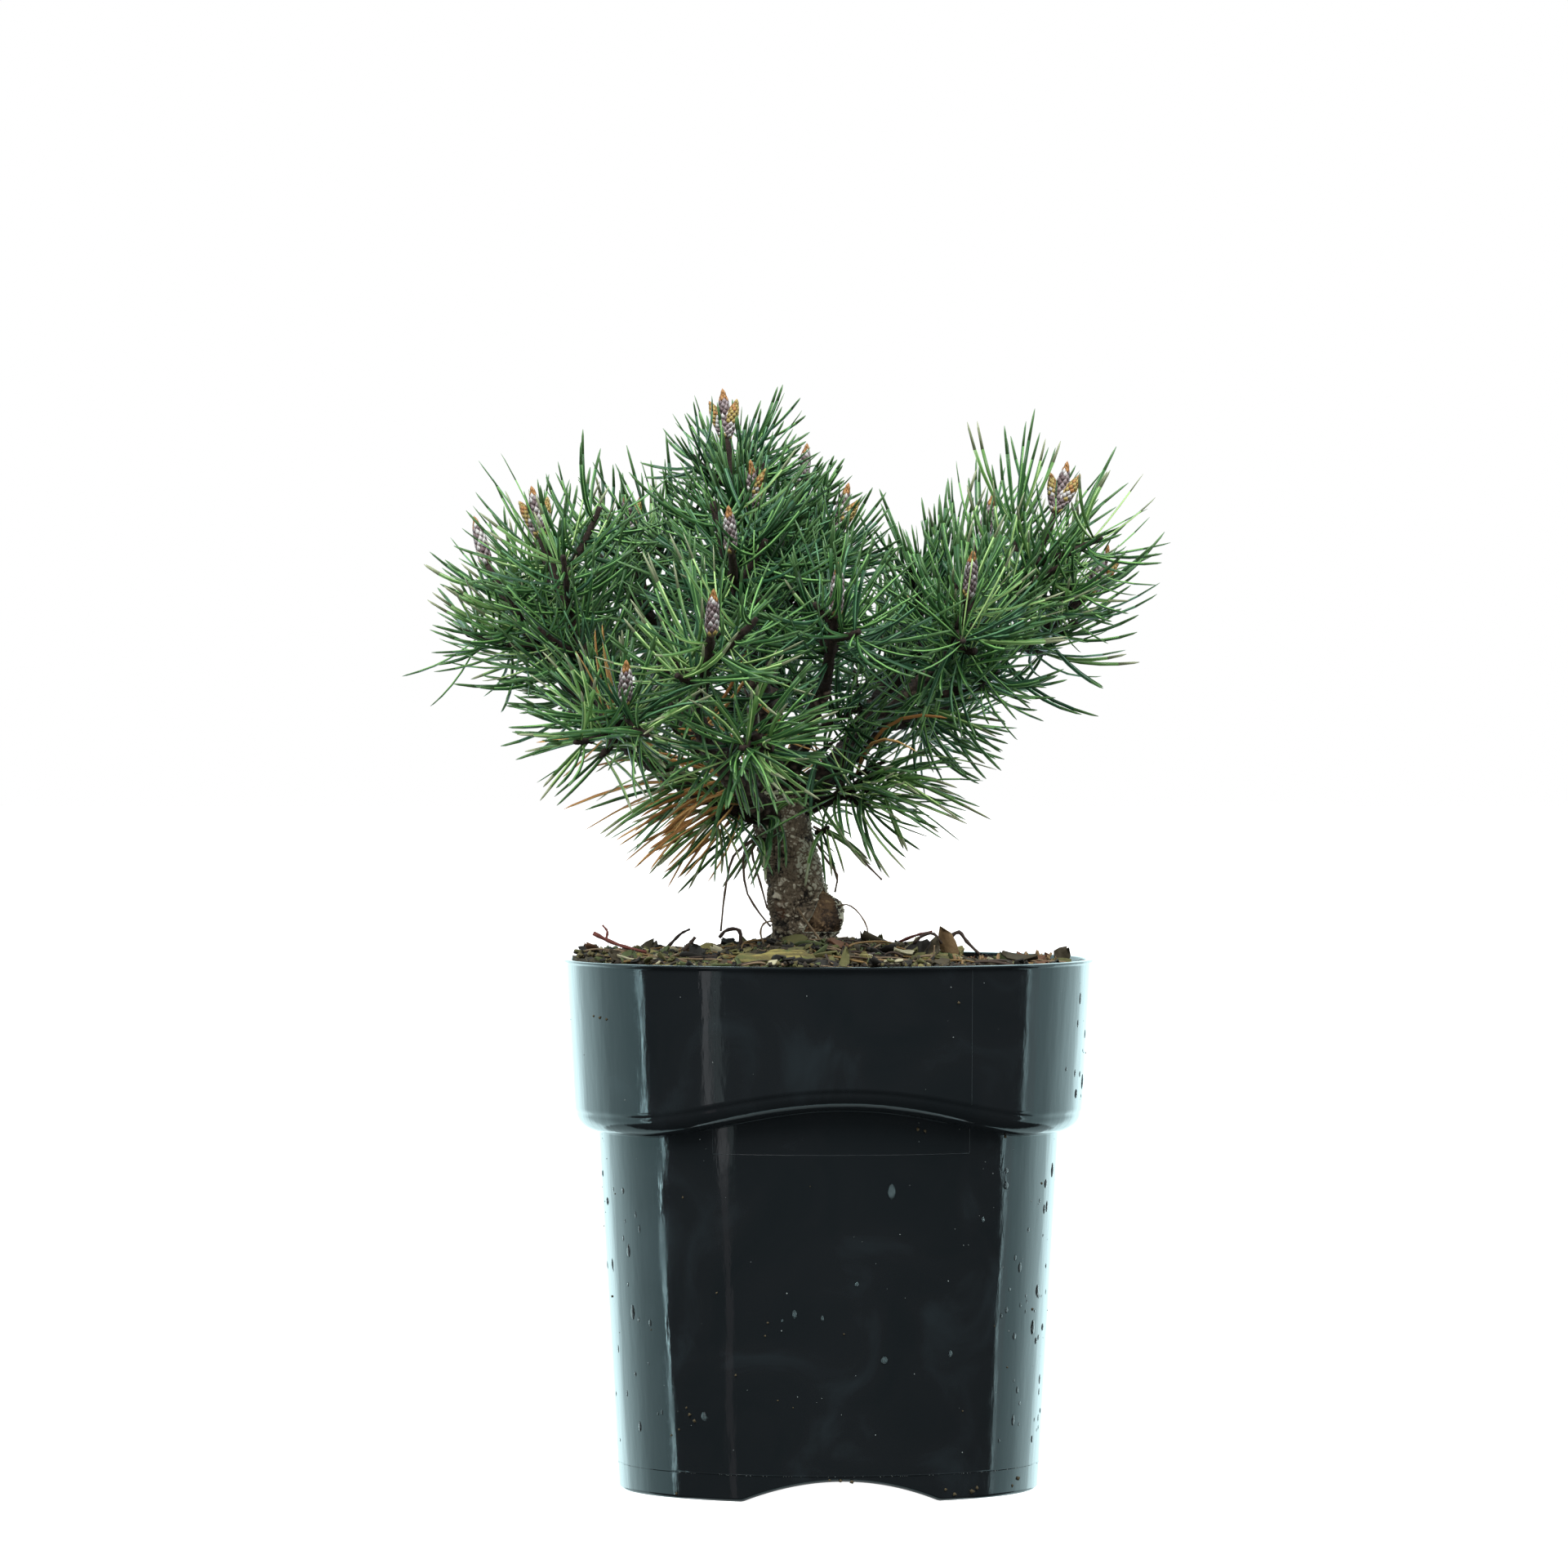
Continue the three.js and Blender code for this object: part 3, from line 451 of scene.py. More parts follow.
def compost_finish():
    """Moist peat and bark compost: matt, with dark wet crumbs and paler fibres."""
    material, tree, shader, place = finish_of("peat_compost", "#201b11", Roughness=0.92)
    crumbs = add(tree, "ShaderNodeTexNoise",
                 {"Vector": place, "Scale": 0.55, "Detail": 8.0, "Roughness": 0.7})
    colour = colour_ramp(tree, crumbs.outputs["Fac"], [
        (0.3, "#0e0b07"), (0.46, "#211b0f"), (0.56, "#38321d"), (0.64, "#4b4729"), (0.75, "#2d2416")])
    tree.links.new(colour, shader.inputs["Base Color"])
    bump = add(tree, "ShaderNodeBump", {"Height": crumbs.outputs["Fac"], "Strength": 0.9, "Distance": 0.0015})
    tree.links.new(bump.outputs["Normal"], shader.inputs["Normal"])
    return material


def bark_finish(name, crack, plate, flake, patches=()):
    """Young pine bark: dry matt plates of brown cork, darker in the cracks, partly by their own dark colour
    and partly as painted shade, and silvered on their edges.
    The mesh's own relief value says where the cracks are, and each patch names a value of the mesh
    that lays a second colour over it."""
    material, tree, shader, place = finish_of(name, plate, Roughness=0.9)
    relief = add(tree, "ShaderNodeAttribute", attribute_name="relief").outputs["Fac"]
    grain = add(tree, "ShaderNodeTexNoise", {"Vector": place, "Scale": 0.9, "Detail": 7.0, "Roughness": 0.75})
    height = add(tree, "ShaderNodeMath", {0: relief, 1: grain.outputs["Fac"]}, operation="ADD")
    # The crack tint darkens the cracks: partly the fissures' own colour, partly painted shade
    colour = colour_ramp(tree, add(tree, "ShaderNodeMath", {0: height.outputs[0], 1: 0.5},
                                   operation="MULTIPLY").outputs[0],
                         [(0.24, crack), (0.46, plate), (0.6, plate), (0.78, flake)])
    for label, tint in patches:
        amount = add(tree, "ShaderNodeAttribute", attribute_name=label).outputs["Fac"]
        blotch = add(tree, "ShaderNodeMath", {0: amount, 1: grain.outputs["Fac"]}, operation="MULTIPLY")
        edge = add(tree, "ShaderNodeMapRange",
                   {"Value": blotch.outputs[0], "From Min": 0.2, "From Max": 0.45})
        mix = add(tree, "ShaderNodeMix", {0: edge.outputs["Result"], 6: colour, 7: linear(tint)},
                  data_type="RGBA")
        colour = mix.outputs[2]
    tree.links.new(colour, shader.inputs["Base Color"])
    bump = add(tree, "ShaderNodeBump", {"Height": grain.outputs["Fac"], "Strength": 0.8, "Distance": 0.0007})
    tree.links.new(bump.outputs["Normal"], shader.inputs["Normal"])
    return material


def plain_finish(name, colour, roughness, size, depth, **sockets):
    """A plain base colour with a fine grain of a real size and depth in millimetres in its bump."""
    material, tree, shader, place = finish_of(name, colour, Roughness=roughness, **sockets)
    grain = add(tree, "ShaderNodeTexNoise", {"Vector": place, "Scale": 1 / size, "Detail": 4.0})
    bump = add(tree, "ShaderNodeBump",
               {"Height": grain.outputs["Fac"], "Strength": 0.6, "Distance": depth * MM})
    tree.links.new(bump.outputs["Normal"], shader.inputs["Normal"])
    return material


POT_PLASTIC = pot_finish()
# The same plastic, rubbed matt and pale where the mould's parts met
SCUFFED_LINE = plain_finish("scuffed_mould_line", "#22292c", 0.4, 0.8, 0.05)
COMPOST = compost_finish()
TRUNK_BARK = bark_finish("scaly_trunk_bark", "#15100c", "#6e6351", "#c4bfab",
                         [("rust", "#5b3c29"), ("lichen", "#b2b5a0")])
# Painted shade: the boughs' bark is darkened for the crown's shadow over them
SHADED_BOUGH_BARK = bark_finish("scarred_bough_bark", "#140e09", "#2f241c", "#51463a")
WOUND_WOOD = bark_finish("weathered_cut_wood", "#2a1f16", "#604c35", "#86704f")
TWIG_BARK = bark_finish("young_twig_bark", "#1e1009", "#44301c", "#644f37")
CHIP_WOOD = bark_finish("dry_bark_chip", "#29220f", "#514a26", "#7a723c", [("moss", "#434d23")])

# Needle cuticle: waxy, so half glossy, and green with paler margins along both edges, a painted highlight.
# Inner needles are deeper in tint and outer ones fresher, a painted shade of the crown's inside, and the
# deepest tint's low specular level darkens them too; the lowest needles take fresher tints, painted light
# where the crown shades them, and sprays differ. Rows: name, share, tint of the faces, tint of the margins
# (a painted highlight), level of the specular reflection
NEEDLE_TINTS = [
    ("needles_deep", 0.30, "#122a13", "#2f5733", 0.16),
    ("needles_bluish", 0.14, "#1f432b", "#4c7853", 0.34),
    ("needles_mid", 0.28, "#294e28", "#5f8c4b", 0.32),
    ("needles_fresh", 0.24, "#4a7037", "#8cab69", 0.42),
    ("needles_dull", 0.04, "#4a5330", "#707948", 0.3),
]
CROWN_MIDDLE = np.array([-15, 0, 272])
DEAD_SHARE = 0.06
DEAD_TINT = ("needles_dead", 0.0, "#94693a", "#b8955c", 0.25)


# Pot
def collar_edge(turn):
    """Height of the collar's lower edge: level, with a raised cosine at front and back."""
    away = np.arccos(np.minimum(1, np.abs(np.cos(turn - FRONT_TURN))))
    wave = WAVE_RISE * (1 + np.cos(np.pi * away / WAVE_HALF_ANGLE)) / 2
    return COLLAR_FOOT + np.where(away > WAVE_HALF_ANGLE, 0, wave)


def body_radius(height):
    """The body's straight taper: the base's radius and a share of the height."""
    return BASE_RADIUS + BODY_TAPER * height


def inner_radius(height):
    """The inside of the collar's wall."""
    return body_radius(height) + COLLAR_STEP - WALL


def arch_height(turn, radius):
    """Height of the arch over a place on the foot: a parabola across, at front and back."""
    across = radius * np.sin(turn - FRONT_TURN)
    return np.maximum(0, ARCH_HEIGHT * (1 - (across / ARCH_HALF_WIDTH) ** 2))


def shoulder_rows(turn, inset, steps):
    """The quarter round from body to collar: radius by the sine and height by 1 - cosine."""
    edge = collar_edge(turn)
    rows = []
    for angle in np.linspace(0, np.pi / 2, steps):
        reach = body_radius(edge) + (COLLAR_STEP - inset) * np.sin(angle)
        rows.append((reach, edge + SHOULDER_HEIGHT * (1 - np.cos(angle)) + inset * np.cos(angle)))
    return rows


def pot_piece():
    """One closed surface of rings from the middle of the underside, out round the foot, up the body,
    out over the shoulder, over the flat rim with its small rounded edges and down inside to the middle
    of the floor. The rim's section is a superellipse."""
    turn = np.linspace(0, 2 * np.pi, POT_SIDES, endpoint=False)
    flat = np.zeros_like(turn)
    rim_foot = POT_HEIGHT - RIM_DEPTH
    inner_foot = BASE_RADIUS - FOOT_WIDTH
    rows = [(flat + r, flat + FLOOR_RAISE) for r in (1, 20, 38, 46, 58, inner_foot - 0.8)]
    rows.append((flat + inner_foot, flat + FLOOR_RAISE - 0.8))
    rows.append((flat + inner_foot, arch_height(turn, inner_foot) + 0.3))
    rows.append((flat + inner_foot + 0.3, arch_height(turn, inner_foot)))
    rows.append((flat + BASE_RADIUS - 0.9, arch_height(turn, BASE_RADIUS)))
    rows.append((flat + BASE_RADIUS - 0.4, arch_height(turn, BASE_RADIUS) + 0.4))
    low = arch_height(turn, BASE_RADIUS) + 0.9
    for share in (0, 0.04, 0.1, 0.5, 0.94, 1):
        height = low + (FOOT_LINE - 0.3 - low) * share
        rows.append((body_radius(height), height))
    for offset, ledge in ((-0.2, 0), (-0.1, 1), (0.1, 1), (0.2, 0), (0.3, 0)):
        height = FOOT_LINE + offset
        rows.append((body_radius(height) + ledge * FOOT_LINE_DEPTH, flat + height))
    under = collar_edge(turn)
    start, end = FOOT_LINE + 0.4, MOULD_LINE_FOOT - 0.3
    for share in np.linspace(0.05, 1, 12):
        height = start + (end - start) * share
        rows.append((body_radius(height), flat + height))
    start = MOULD_LINE_FOOT + 0.3
    for share in (0, 0.05, 0.4, 0.9, 0.97, 1):
        height = start + (under - 0.3 - start) * share
        rows.append((body_radius(height), height))
    rows.extend(shoulder_rows(turn, 0, 10))
    top = under + SHOULDER_HEIGHT
    for share in (0.01, 0.03, 0.2, 0.4, 0.6, 0.8, 0.97, 0.99, 1):
        height = top + (rim_foot - 0.1 - top) * share
        rows.append((body_radius(height) + COLLAR_STEP, height))
    inner_top = inner_radius(POT_HEIGHT)
    half = (RIM_RADIUS - inner_top) / 2
    for angle in np.linspace(-0.35, np.pi, 12):
        reach = signed_power(np.cos(angle), RIM_ROUNDNESS)
        rise = signed_power(np.sin(angle), RIM_ROUNDNESS)
        rows.append((flat + inner_top + half * (1 + reach), flat + POT_HEIGHT - RIM_DEPTH / 2 * (1 - rise)))
    inner = shoulder_rows(turn, WALL, 6)[::-1]
    for share in (0.3, 0.7):
        height = POT_HEIGHT + (inner[0][1] - POT_HEIGHT) * share
        rows.append((inner_radius(height), height))
    rows.extend(inner)
    floor = FLOOR_RAISE + FLOOR_THICKNESS
    for share in (0.3, 0.65, 1):
        height = inner[-1][1] + (floor - inner[-1][1]) * share
        rows.append((body_radius(height) - WALL, height))
    rows.extend((flat + r, flat + floor) for r in (58, 46, 38, 20, 1))
    radius = np.array([flat + row[0] for row in rows])
    height = np.array([flat + row[1] for row in rows])
    points = np.stack([radius * np.cos(turn), radius * np.sin(turn), height], -1)
    pot = put_mesh("pot_moulding", points, tube_faces(len(rows), len(turn)), [POT_PLASTIC],
                   ["pot"])
    drill_drains(pot)


def mould_lines():
    """Fine ridges where the parts of the mould met, at front and back: two upright ones that stay
    MOULD_LINE_OFFSET from the middle, from MOULD_LINE_FOOT up to the rim, and a level one between
    their feet."""
    steps = MOULD_LINE_STEPS
    lines = []
    for face in (FRONT_TURN, FRONT_TURN + np.pi):
        for hand in (-1, 1):
            for collar in (False, True):
                edge = collar_edge(face + hand * math.asin(MOULD_LINE_OFFSET / RIM_RADIUS))
                low = edge + SHOULDER_HEIGHT if collar else MOULD_LINE_FOOT
                high = POT_HEIGHT - RIM_DEPTH if collar else edge
                height = np.linspace(low, high, steps)
                radius = body_radius(height) + COLLAR_STEP * collar
                lines.append((face + hand * np.arcsin(MOULD_LINE_OFFSET / radius), radius, height))
        radius = np.full(steps, body_radius(MOULD_LINE_FOOT))
        reach = math.asin(MOULD_LINE_OFFSET / radius[0])
        level = np.full(steps, float(MOULD_LINE_FOOT))
        lines.append((face + np.linspace(-reach, reach, steps), radius, level))
    turn, radius, height = (np.array(part) for part in zip(*lines))
    places = np.stack([radius * np.cos(turn), radius * np.sin(turn), height], -1)
    points = stick_points(places, np.full(turn.shape, MOULD_LINE_DEPTH), 4)
    put_mesh("mould_lines", points, many_tubes(steps, 4, len(points)), [SCUFFED_LINE])


def drill_drains(pot):
    """Cuts the four round drain holes through the floor with upright tubes."""
    around = np.linspace(0, 2 * np.pi, DRAIN_SIDES, endpoint=False)
    rings = np.stack([np.cos(around), np.sin(around)], -1) * DRAIN_RADIUS
    places = (np.arange(DRAINS) + 0.5) * 2 * np.pi / DRAINS
    centres = np.stack([np.cos(places), np.sin(places)], -1) * DRAIN_RING
    heights = np.array([FLOOR_RAISE - 3, FLOOR_RAISE + FLOOR_THICKNESS + 3])
    points = np.zeros((DRAINS, 2, DRAIN_SIDES, 3))
    points[..., :2] = centres[:, None, None] + rings
    points[..., 2] = heights[None, :, None]
    drills = put_mesh("drain_drills", points, many_tubes(2, DRAIN_SIDES, DRAINS), [POT_PLASTIC])
    cut = pot.modifiers.new("drains", "BOOLEAN")
    cut.object = drills
    cut.operation = "DIFFERENCE"
    cut.solver = "EXACT"
    whole = pot.evaluated_get(bpy.context.evaluated_depsgraph_get())
    mesh = bpy.data.meshes.new_from_object(whole)
    pot.modifiers.clear()
    pot.data = mesh
    bpy.data.objects.remove(drills)


# Soil
def soil_height(x, y):
    """The solids' mound round the trunk foot on a slight tilt, with its low lumps."""
    away = np.hypot(x - TRUNK_X, y)
    beyond = np.maximum(0, away - SEAT_RADIUS)
    ease = np.minimum(1, beyond / SEAT_RADIUS)
    lumps = 0.7 * np.sin(x / 6.1 + 1.3) * np.sin(y / 5.3 + 0.7)
    return SOIL_LEVEL + SOIL_MOUND * np.exp(-(beyond / MOUND_SPREAD) ** 2) + ease * (lumps - SOIL_TILT * x)


def ground_height(x, y):
    """The soil's surface: the solids' mound, settled a little, more so at its left foot and along the
    wall at the back on the right, and heaped up at the trunk."""
    settled = SETTLED * np.exp(-(np.hypot(x, y) / 58) ** 4)
    left = LEFT_SETTLED * smooth_step(-12, -26, x) * smooth_step(-78, -60, x)
    right = RIGHT_SETTLED * smooth_step(30, 56, x) * smooth_step(-15, 40, y)
    heap = TRUNK_HEAP * np.exp(-(np.hypot(x - TRUNK_X, y) / HEAP_SPREAD) ** 2)
    return soil_height(x, y) - settled - left - right + heap


def soil_piece():
    """Compost as rings from a hidden foot up inside the wall and in over the crumbly top to its middle.
    The top is the ground's height with layers of noise for crumbs."""
    turn = np.linspace(0, 2 * np.pi, SOIL_SIDES, endpoint=False)
    wall = inner_radius(SOIL_LEVEL) - 0.25
    radii = wall * np.sqrt(np.linspace(0.0001, 1, SOIL_RINGS))
    reach, around = np.meshgrid(radii, turn, indexing="ij")
    x, y = reach * np.cos(around), reach * np.sin(around)
    flat = np.stack([x, y, np.zeros_like(x)], -1)
    crumbs = 1.1 * rough_noise(flat, 7, 11) + 0.8 * np.abs(rough_noise(flat, 2.6, 23))
    top = np.stack([x, y, ground_height(x, y) + crumbs - 0.8], -1)
    low = np.full_like(x[-1], COLLAR_FOOT + WAVE_RISE + 12)
    side = np.stack([0.975 * x[-1], 0.975 * y[-1], low], -1)
    foot = side * [0.98, 0.98, 1]
    points = np.concatenate([[foot], [side], top[::-1]])
    put_mesh("compost_top", points, tube_faces(len(points), len(turn)), [COMPOST], ["soil"])


# Mulch
# Bark chips of the solids: centre, length, width and turn in degrees, with the height that each lies
# above the ground and its roll
CHIPS = [
    ((-17, -62), 26, 7, 4, 3.6, 0.5),
    ((-66, -22), 15, 6, -28, 1.6, 0.12),
    ((-44, 36), 17, 8, 62, 1.8, -0.12),
    ((36, -30), 13, 9, 35, 1.8, 0.2),
    ((52, 14), 14, 7, -50, 1.4, -0.12),
    ((14, 56), 18, 7, 15, 1.8, 0.12),
]
CHIP_THICKNESS = 2.6
CHIP_RINGS, CHIP_SIDES = 44, 28
SHARDS = 2600
CRUMBS = 4200
STICKS = 420
OLD_NEEDLES = 150
# Shredded pine bark and leaf litter: matt, near black where it is wet, straw-coloured where it has
# dried, green with moss in between. Rows: name, share, colour
MULCH_TINTS = [
    ("mulch_dark", 0.31, "#161510"),
    ("mulch_brown", 0.18, "#332d1b"),
    ("mulch_olive", 0.21, "#494924"),
    ("mulch_moss", 0.17, "#3b4622"),
    ("mulch_straw", 0.09, "#6f6a3e"),
    ("mulch_rust", 0.02, "#50341f"),
    ("mulch_pale", 0.05, "#8d8a70"),
    ("chip_tan", 0.02, "#6b5638"),
]
# Twigs and roots that stand out of the mulch: tint, radius at both ends, places along it
STANDING_TWIGS = [
    ("twig_red", 0.75, 0.5, [(-75, -30, 178.5), (-70, -30, 176), (-65, -31, 174.2), (-58, -32, 172.5)]),
    ("twig_red", 0.5, 0.3, [(-71, -30, 176.2), (-70.5, -29, 179), (-72, -28, 181)]),
    ("twig_dark", 1.0, 0.5, [(-46.5, -20, 172.5), (-44.5, -20, 174.6), (-42.6, -20, 177)]),
    ("twig_dark", 0.55, 0.7, [(-35, -14, 176.6), (-33, -14, 178.8), (-30, -14, 179.4), (-28.2, -14, 178),
                              (-28.4, -14, 173)]),
    ("root_pale", 0.35, 0.3, [(-20.6, -12, 174), (-21.8, -12, 178), (-20.8, -12, 181), (-18, -11, 182)]),
    ("root_pale", 0.25, 0.25,
     [(2.8, -6, 186.4), (6, -8, 187), (9.4, -8, 184.6), (12.2, -9, 180), (12.6, -9, 175)]),
    ("root_pale", 0.4, 0.35, [(-10, -11.5, 186), (-7, -13, 181.5), (-3.5, -16, 177), (-1, -18, 173)]),
    ("twig_dark", 0.75, 0.5, [(38, -18, 176.5), (41.5, -18, 178.5), (44, -18, 175.5), (48, -19, 171.5)]),
    ("twig_dark", 0.6, 0.4, [(27, -22, 175), (30, -22, 177.6), (33.5, -22, 178), (36, -22, 175)]),
    ("root_pale", 0.35, 0.25, [(31, -40, 169.8), (33, -40, 172), (33.4, -40, 175)]),
    ("twig_dark", 0.6, 0.35, [(-52, 40, 172), (-48, 44, 176), (-45, 47, 177.5)]),
    ("twig_red", 0.6, 0.35, [(20, 60, 171.5), (28, 56, 175), (34, 55, 176.5)]),
    ("twig_dark", 0.6, 0.4, [(62, 30, 167), (57, 33, 168.6), (50, 35, 169)]),
]
# Leaves and flakes that stand out: tint, centre, turn, pitch, roll in degrees, length, width, curl
STANDING_FLAKES = [
    ("chip_tan", (38, -20, 174.6), 12, -114, 70, 12, 5.6, 0.2),
    ("mulch_dark", (29, -24, 172.5), -10, -30, 50, 10, 7, 0.5),
    ("mulch_brown", (33, -26, 173), 40, -48, 20, 8, 5, 0.6),
    ("mulch_olive", (4.6, -70, 170.8), 64, -62, 14, 9, 3.4, 0.3),
    ("mulch_brown", (75, 18, 169.6), 20, -52, 72, 7, 5, 0.2),
    ("mulch_pale", (24, -34, 172.3), 20, 8, 14, 7, 4, 0.3),
    ("mulch_brown", (46, -50, 169.8), 15, 8, 22, 8, 4, 0.5),
    ("mulch_brown", (60, -30, 170.4), -12, 6, 16, 12, 5, 0.4),
    ("mulch_rust", (64, -20, 169.6), 20, 8, 36, 10, 5, 0.6),
    ("mulch_olive", (-50, -48, 170.2), 25, 12, 22, 11, 6, 0.5),
    ("mulch_brown", (-66, -40, 170.6), -18, 14, 30, 9, 5, 0.6),
    ("mulch_brown", (-58, 34, 170.6), 80, -20, 30, 11, 6, 0.5),
    ("mulch_olive", (2, 66, 172), 140, -50, 20, 10, 6, 0.5),
    ("mulch_straw", (40, 52, 168.6), 40, -12, 30, 11, 6, 0.5),
]

# Clumps of chewed bark fibre and of moss: centre, spread, height over the ground, two tints, count, seed
FIBRE_CLUMPS = [
    ((47, -38), (8, 4), 4, "chip_tan", "mulch_rust", 46, 371),
    ((68, -8), (7, 5), 4, "chip_tan", "mulch_rust", 34, 372),
    ((59, -14), (5, 4), 3.4, "chip_tan", "mulch_rust", 18, 373),
    ((-30, 56), (9, 6), 3, "chip_tan", "mulch_rust", 30, 374),
    ((-19, -17), (16, 10), 1.5, "mulch_moss", "mulch_dark", 70, 375),
    ((2, -20), (22, 10), 1.5, "mulch_moss", "mulch_dark", 90, 376),
    ((17, -16), (14, 10), 1.5, "mulch_moss", "mulch_dark", 60, 377),
    ((-14, 18), (34, 12), 1.5, "mulch_moss", "mulch_dark", 90, 378),
]


def turned(points, turn, pitch, roll):
    """Points turned about X by roll, then about Y by pitch, then about Z by turn, in radians."""
    x, y, z = points[..., 0], points[..., 1], points[..., 2]
    y, z = y * np.cos(roll) - z * np.sin(roll), y * np.sin(roll) + z * np.cos(roll)
    x, z = x * np.cos(pitch) + z * np.sin(pitch), z * np.cos(pitch) - x * np.sin(pitch)
    x, y = x * np.cos(turn) - y * np.sin(turn), x * np.sin(turn) + y * np.cos(turn)
    return np.stack([x, y, z], -1)


FLAKE_ROWS = 5
FLAKE_THICKNESS = 0.45


def flake_points(centre, turn, pitch, roll, length, width, curl, seed):
    """Curled flakes, each two sheets of 5 by 3 points: an uneven lens outline, bent along its length
    by curl times the square of the place along it, and creased along the middle."""
    count = len(centre)
    along = np.linspace(-1, 1, FLAKE_ROWS)[None, :, None] * np.ones((count, 1, 3))
    across = np.array([-1.0, 0, 1])[None, None] * np.ones((count, FLAKE_ROWS, 1))
    k = np.arange(count * FLAKE_ROWS * 3).reshape(count, FLAKE_ROWS, 3)
    ragged = 0.72 + 0.5 * chance(seed, k)
    outline = (1 - 0.8 * np.abs(along) ** 2.5) * ragged
    x = along * length[:, None, None] / 2 * (0.85 + 0.25 * chance(seed + 1, k))
    y = across * width[:, None, None] / 2 * outline
    z = curl[:, None, None] * length[:, None, None] * (along ** 2 * 0.35 - 0.12)
    z = z + 0.22 * width[:, None, None] * np.abs(across) * np.sign(curl)[:, None, None]
    z = z + 0.3 * (chance(seed + 2, k) - 0.5)
    sheet = np.stack([x, y, z], -1)
    both = np.stack([sheet, sheet - np.array([0, 0, FLAKE_THICKNESS])], 1)
    angles = (angle[:, None, None, None] for angle in (turn, pitch, roll))
    return turned(both, *angles) + centre[:, None, None, None]


def flake_faces(count):
    """Top, bottom and edge quads of each flake."""
    half = FLAKE_ROWS * 3
    r, c = np.meshgrid(np.arange(FLAKE_ROWS - 1), np.arange(2), indexing="ij")
    top = np.stack([r * 3 + c, (r + 1) * 3 + c, (r + 1) * 3 + c + 1, r * 3 + c + 1], -1).reshape(-1, 4)
    last = FLAKE_ROWS - 1
    border = [(row, 0) for row in range(last)] + [(last, 0), (last, 1)]
    border += [(row, 2) for row in range(last, 0, -1)] + [(0, 2), (0, 1)]
    loop = np.array([row * 3 + column for row, column in border])
    after = np.roll(loop, -1)
    edge = np.stack([after, loop, loop + half, after + half], -1)
    return repeat_faces([np.concatenate([top, top[:, ::-1] + half, edge])], half * 2, count)


def mulch_places(count, seed, length):
    """Places spread evenly over the compost, clear of the trunk and the chips and inside the pot's
    wall, and how far each is from the trunk."""
    k = np.arange(count)
    wall = inner_radius(SOIL_LEVEL) - 0.8 - length * 0.45
    away = wall * np.sqrt(chance(seed, k))
    around = 2 * np.pi * chance(seed + 1, k)
    x, y = away * np.cos(around), away * np.sin(around)
    from_trunk = np.hypot(x - TRUNK_X, y)
    push = np.where(from_trunk < TRUNK_CLEAR, TRUNK_CLEAR / np.maximum(from_trunk, 1), 1)
    for (chip_x, chip_y), chip_length, chip_width, *_ in CHIPS:
        close = (np.abs(x - chip_x) < chip_length * 0.42) & (np.abs(y - chip_y) < chip_width * 0.5)
        y = np.where(close, chip_y + np.sign(y - chip_y) * chip_width * 0.75, y)
    return TRUNK_X + (x - TRUNK_X) * push, y * push, np.maximum(from_trunk, TRUNK_CLEAR)


def dealt(names, shares, draw):
    """The name that each draw from 0 to 1 falls to, by their shares."""
    limits = np.cumsum(shares) / np.sum(shares)
    return np.array(names)[np.minimum(np.searchsorted(limits, draw), len(names) - 1)]


def mulch_pieces():
    """Shredded bark and leaves over all of the compost: curled flakes by a seeded rule, smaller and
    darker on the mound at the trunk's foot, with a few larger ones that stand up."""
    k = np.arange(SHARDS)
    length = 2.6 + 9 * chance(301, k) ** 2.6
    x, y, from_trunk = mulch_places(SHARDS, 302, length)
    near = smooth_step(26, 12, from_trunk)
    length = length * (1 - 0.55 * near)
    width = length * (0.22 + 0.4 * chance(303, k))
    lift = 0.2 + 2.6 * chance(304, k) ** 2 * (1 - 0.4 * near) * (1 - 0.85 * smooth_step(25, 55, x))
    centre = np.stack([x, y, ground_height(x, y) + lift], -1)
    curl = (chance(305, k) - 0.35) * 0.9
    pitch = np.radians(50) * (chance(307, k) - 0.5)
    roll = np.radians(90) * (chance(308, k) - 0.5)
    points = flake_points(centre, 2 * np.pi * chance(306, k), pitch, roll, length, width, curl, 310)
    names = [name for name, *_ in MULCH_TINTS]
    tint = dealt(names, [share for _, share, _ in MULCH_TINTS], chance(309, k))
    tint = np.where((near > 0.4) & (chance(311, k) < 0.6), "mulch_dark", tint)
    rows = STANDING_FLAKES
    angles = np.radians(np.array([row[2:5] for row in rows], float))
    sizes = np.array([row[5:8] for row in rows], float)
    standing = flake_points(np.array([row[1] for row in rows], float), *angles.T, *sizes.T, 320)
    points = np.concatenate([points, standing])
    tint = np.concatenate([tint, [row[0] for row in rows]])
    for centre, spread, height, often, seldom, count, seed in FIBRE_CLUMPS:
        k = np.arange(count)
        draw = [chance(seed + 20 * i, k) for i in range(10)]
        spot = np.array(centre) + (np.stack(draw[:2], -1) + np.stack(draw[8:], -1) - 1) * spread
        place = np.column_stack([spot, ground_height(*spot.T) + height * draw[2] ** 2])
        clump = flake_points(place, 6 * draw[3], 3 * draw[4], 3 * draw[5], 2.2 + 2.6 * draw[6], 0.7 + draw[7],
                             draw[6] - 0.4, seed)
        points = np.concatenate([points, clump])
        tint = np.concatenate([tint, np.where(draw[7] < 0.7, often, seldom)])
    for name, _, colour in MULCH_TINTS:
        chosen = points[tint == name]
        put_mesh(name, chosen, flake_faces(len(chosen)), [plain_finish(name, colour, 0.85, 0.8, 0.3)])


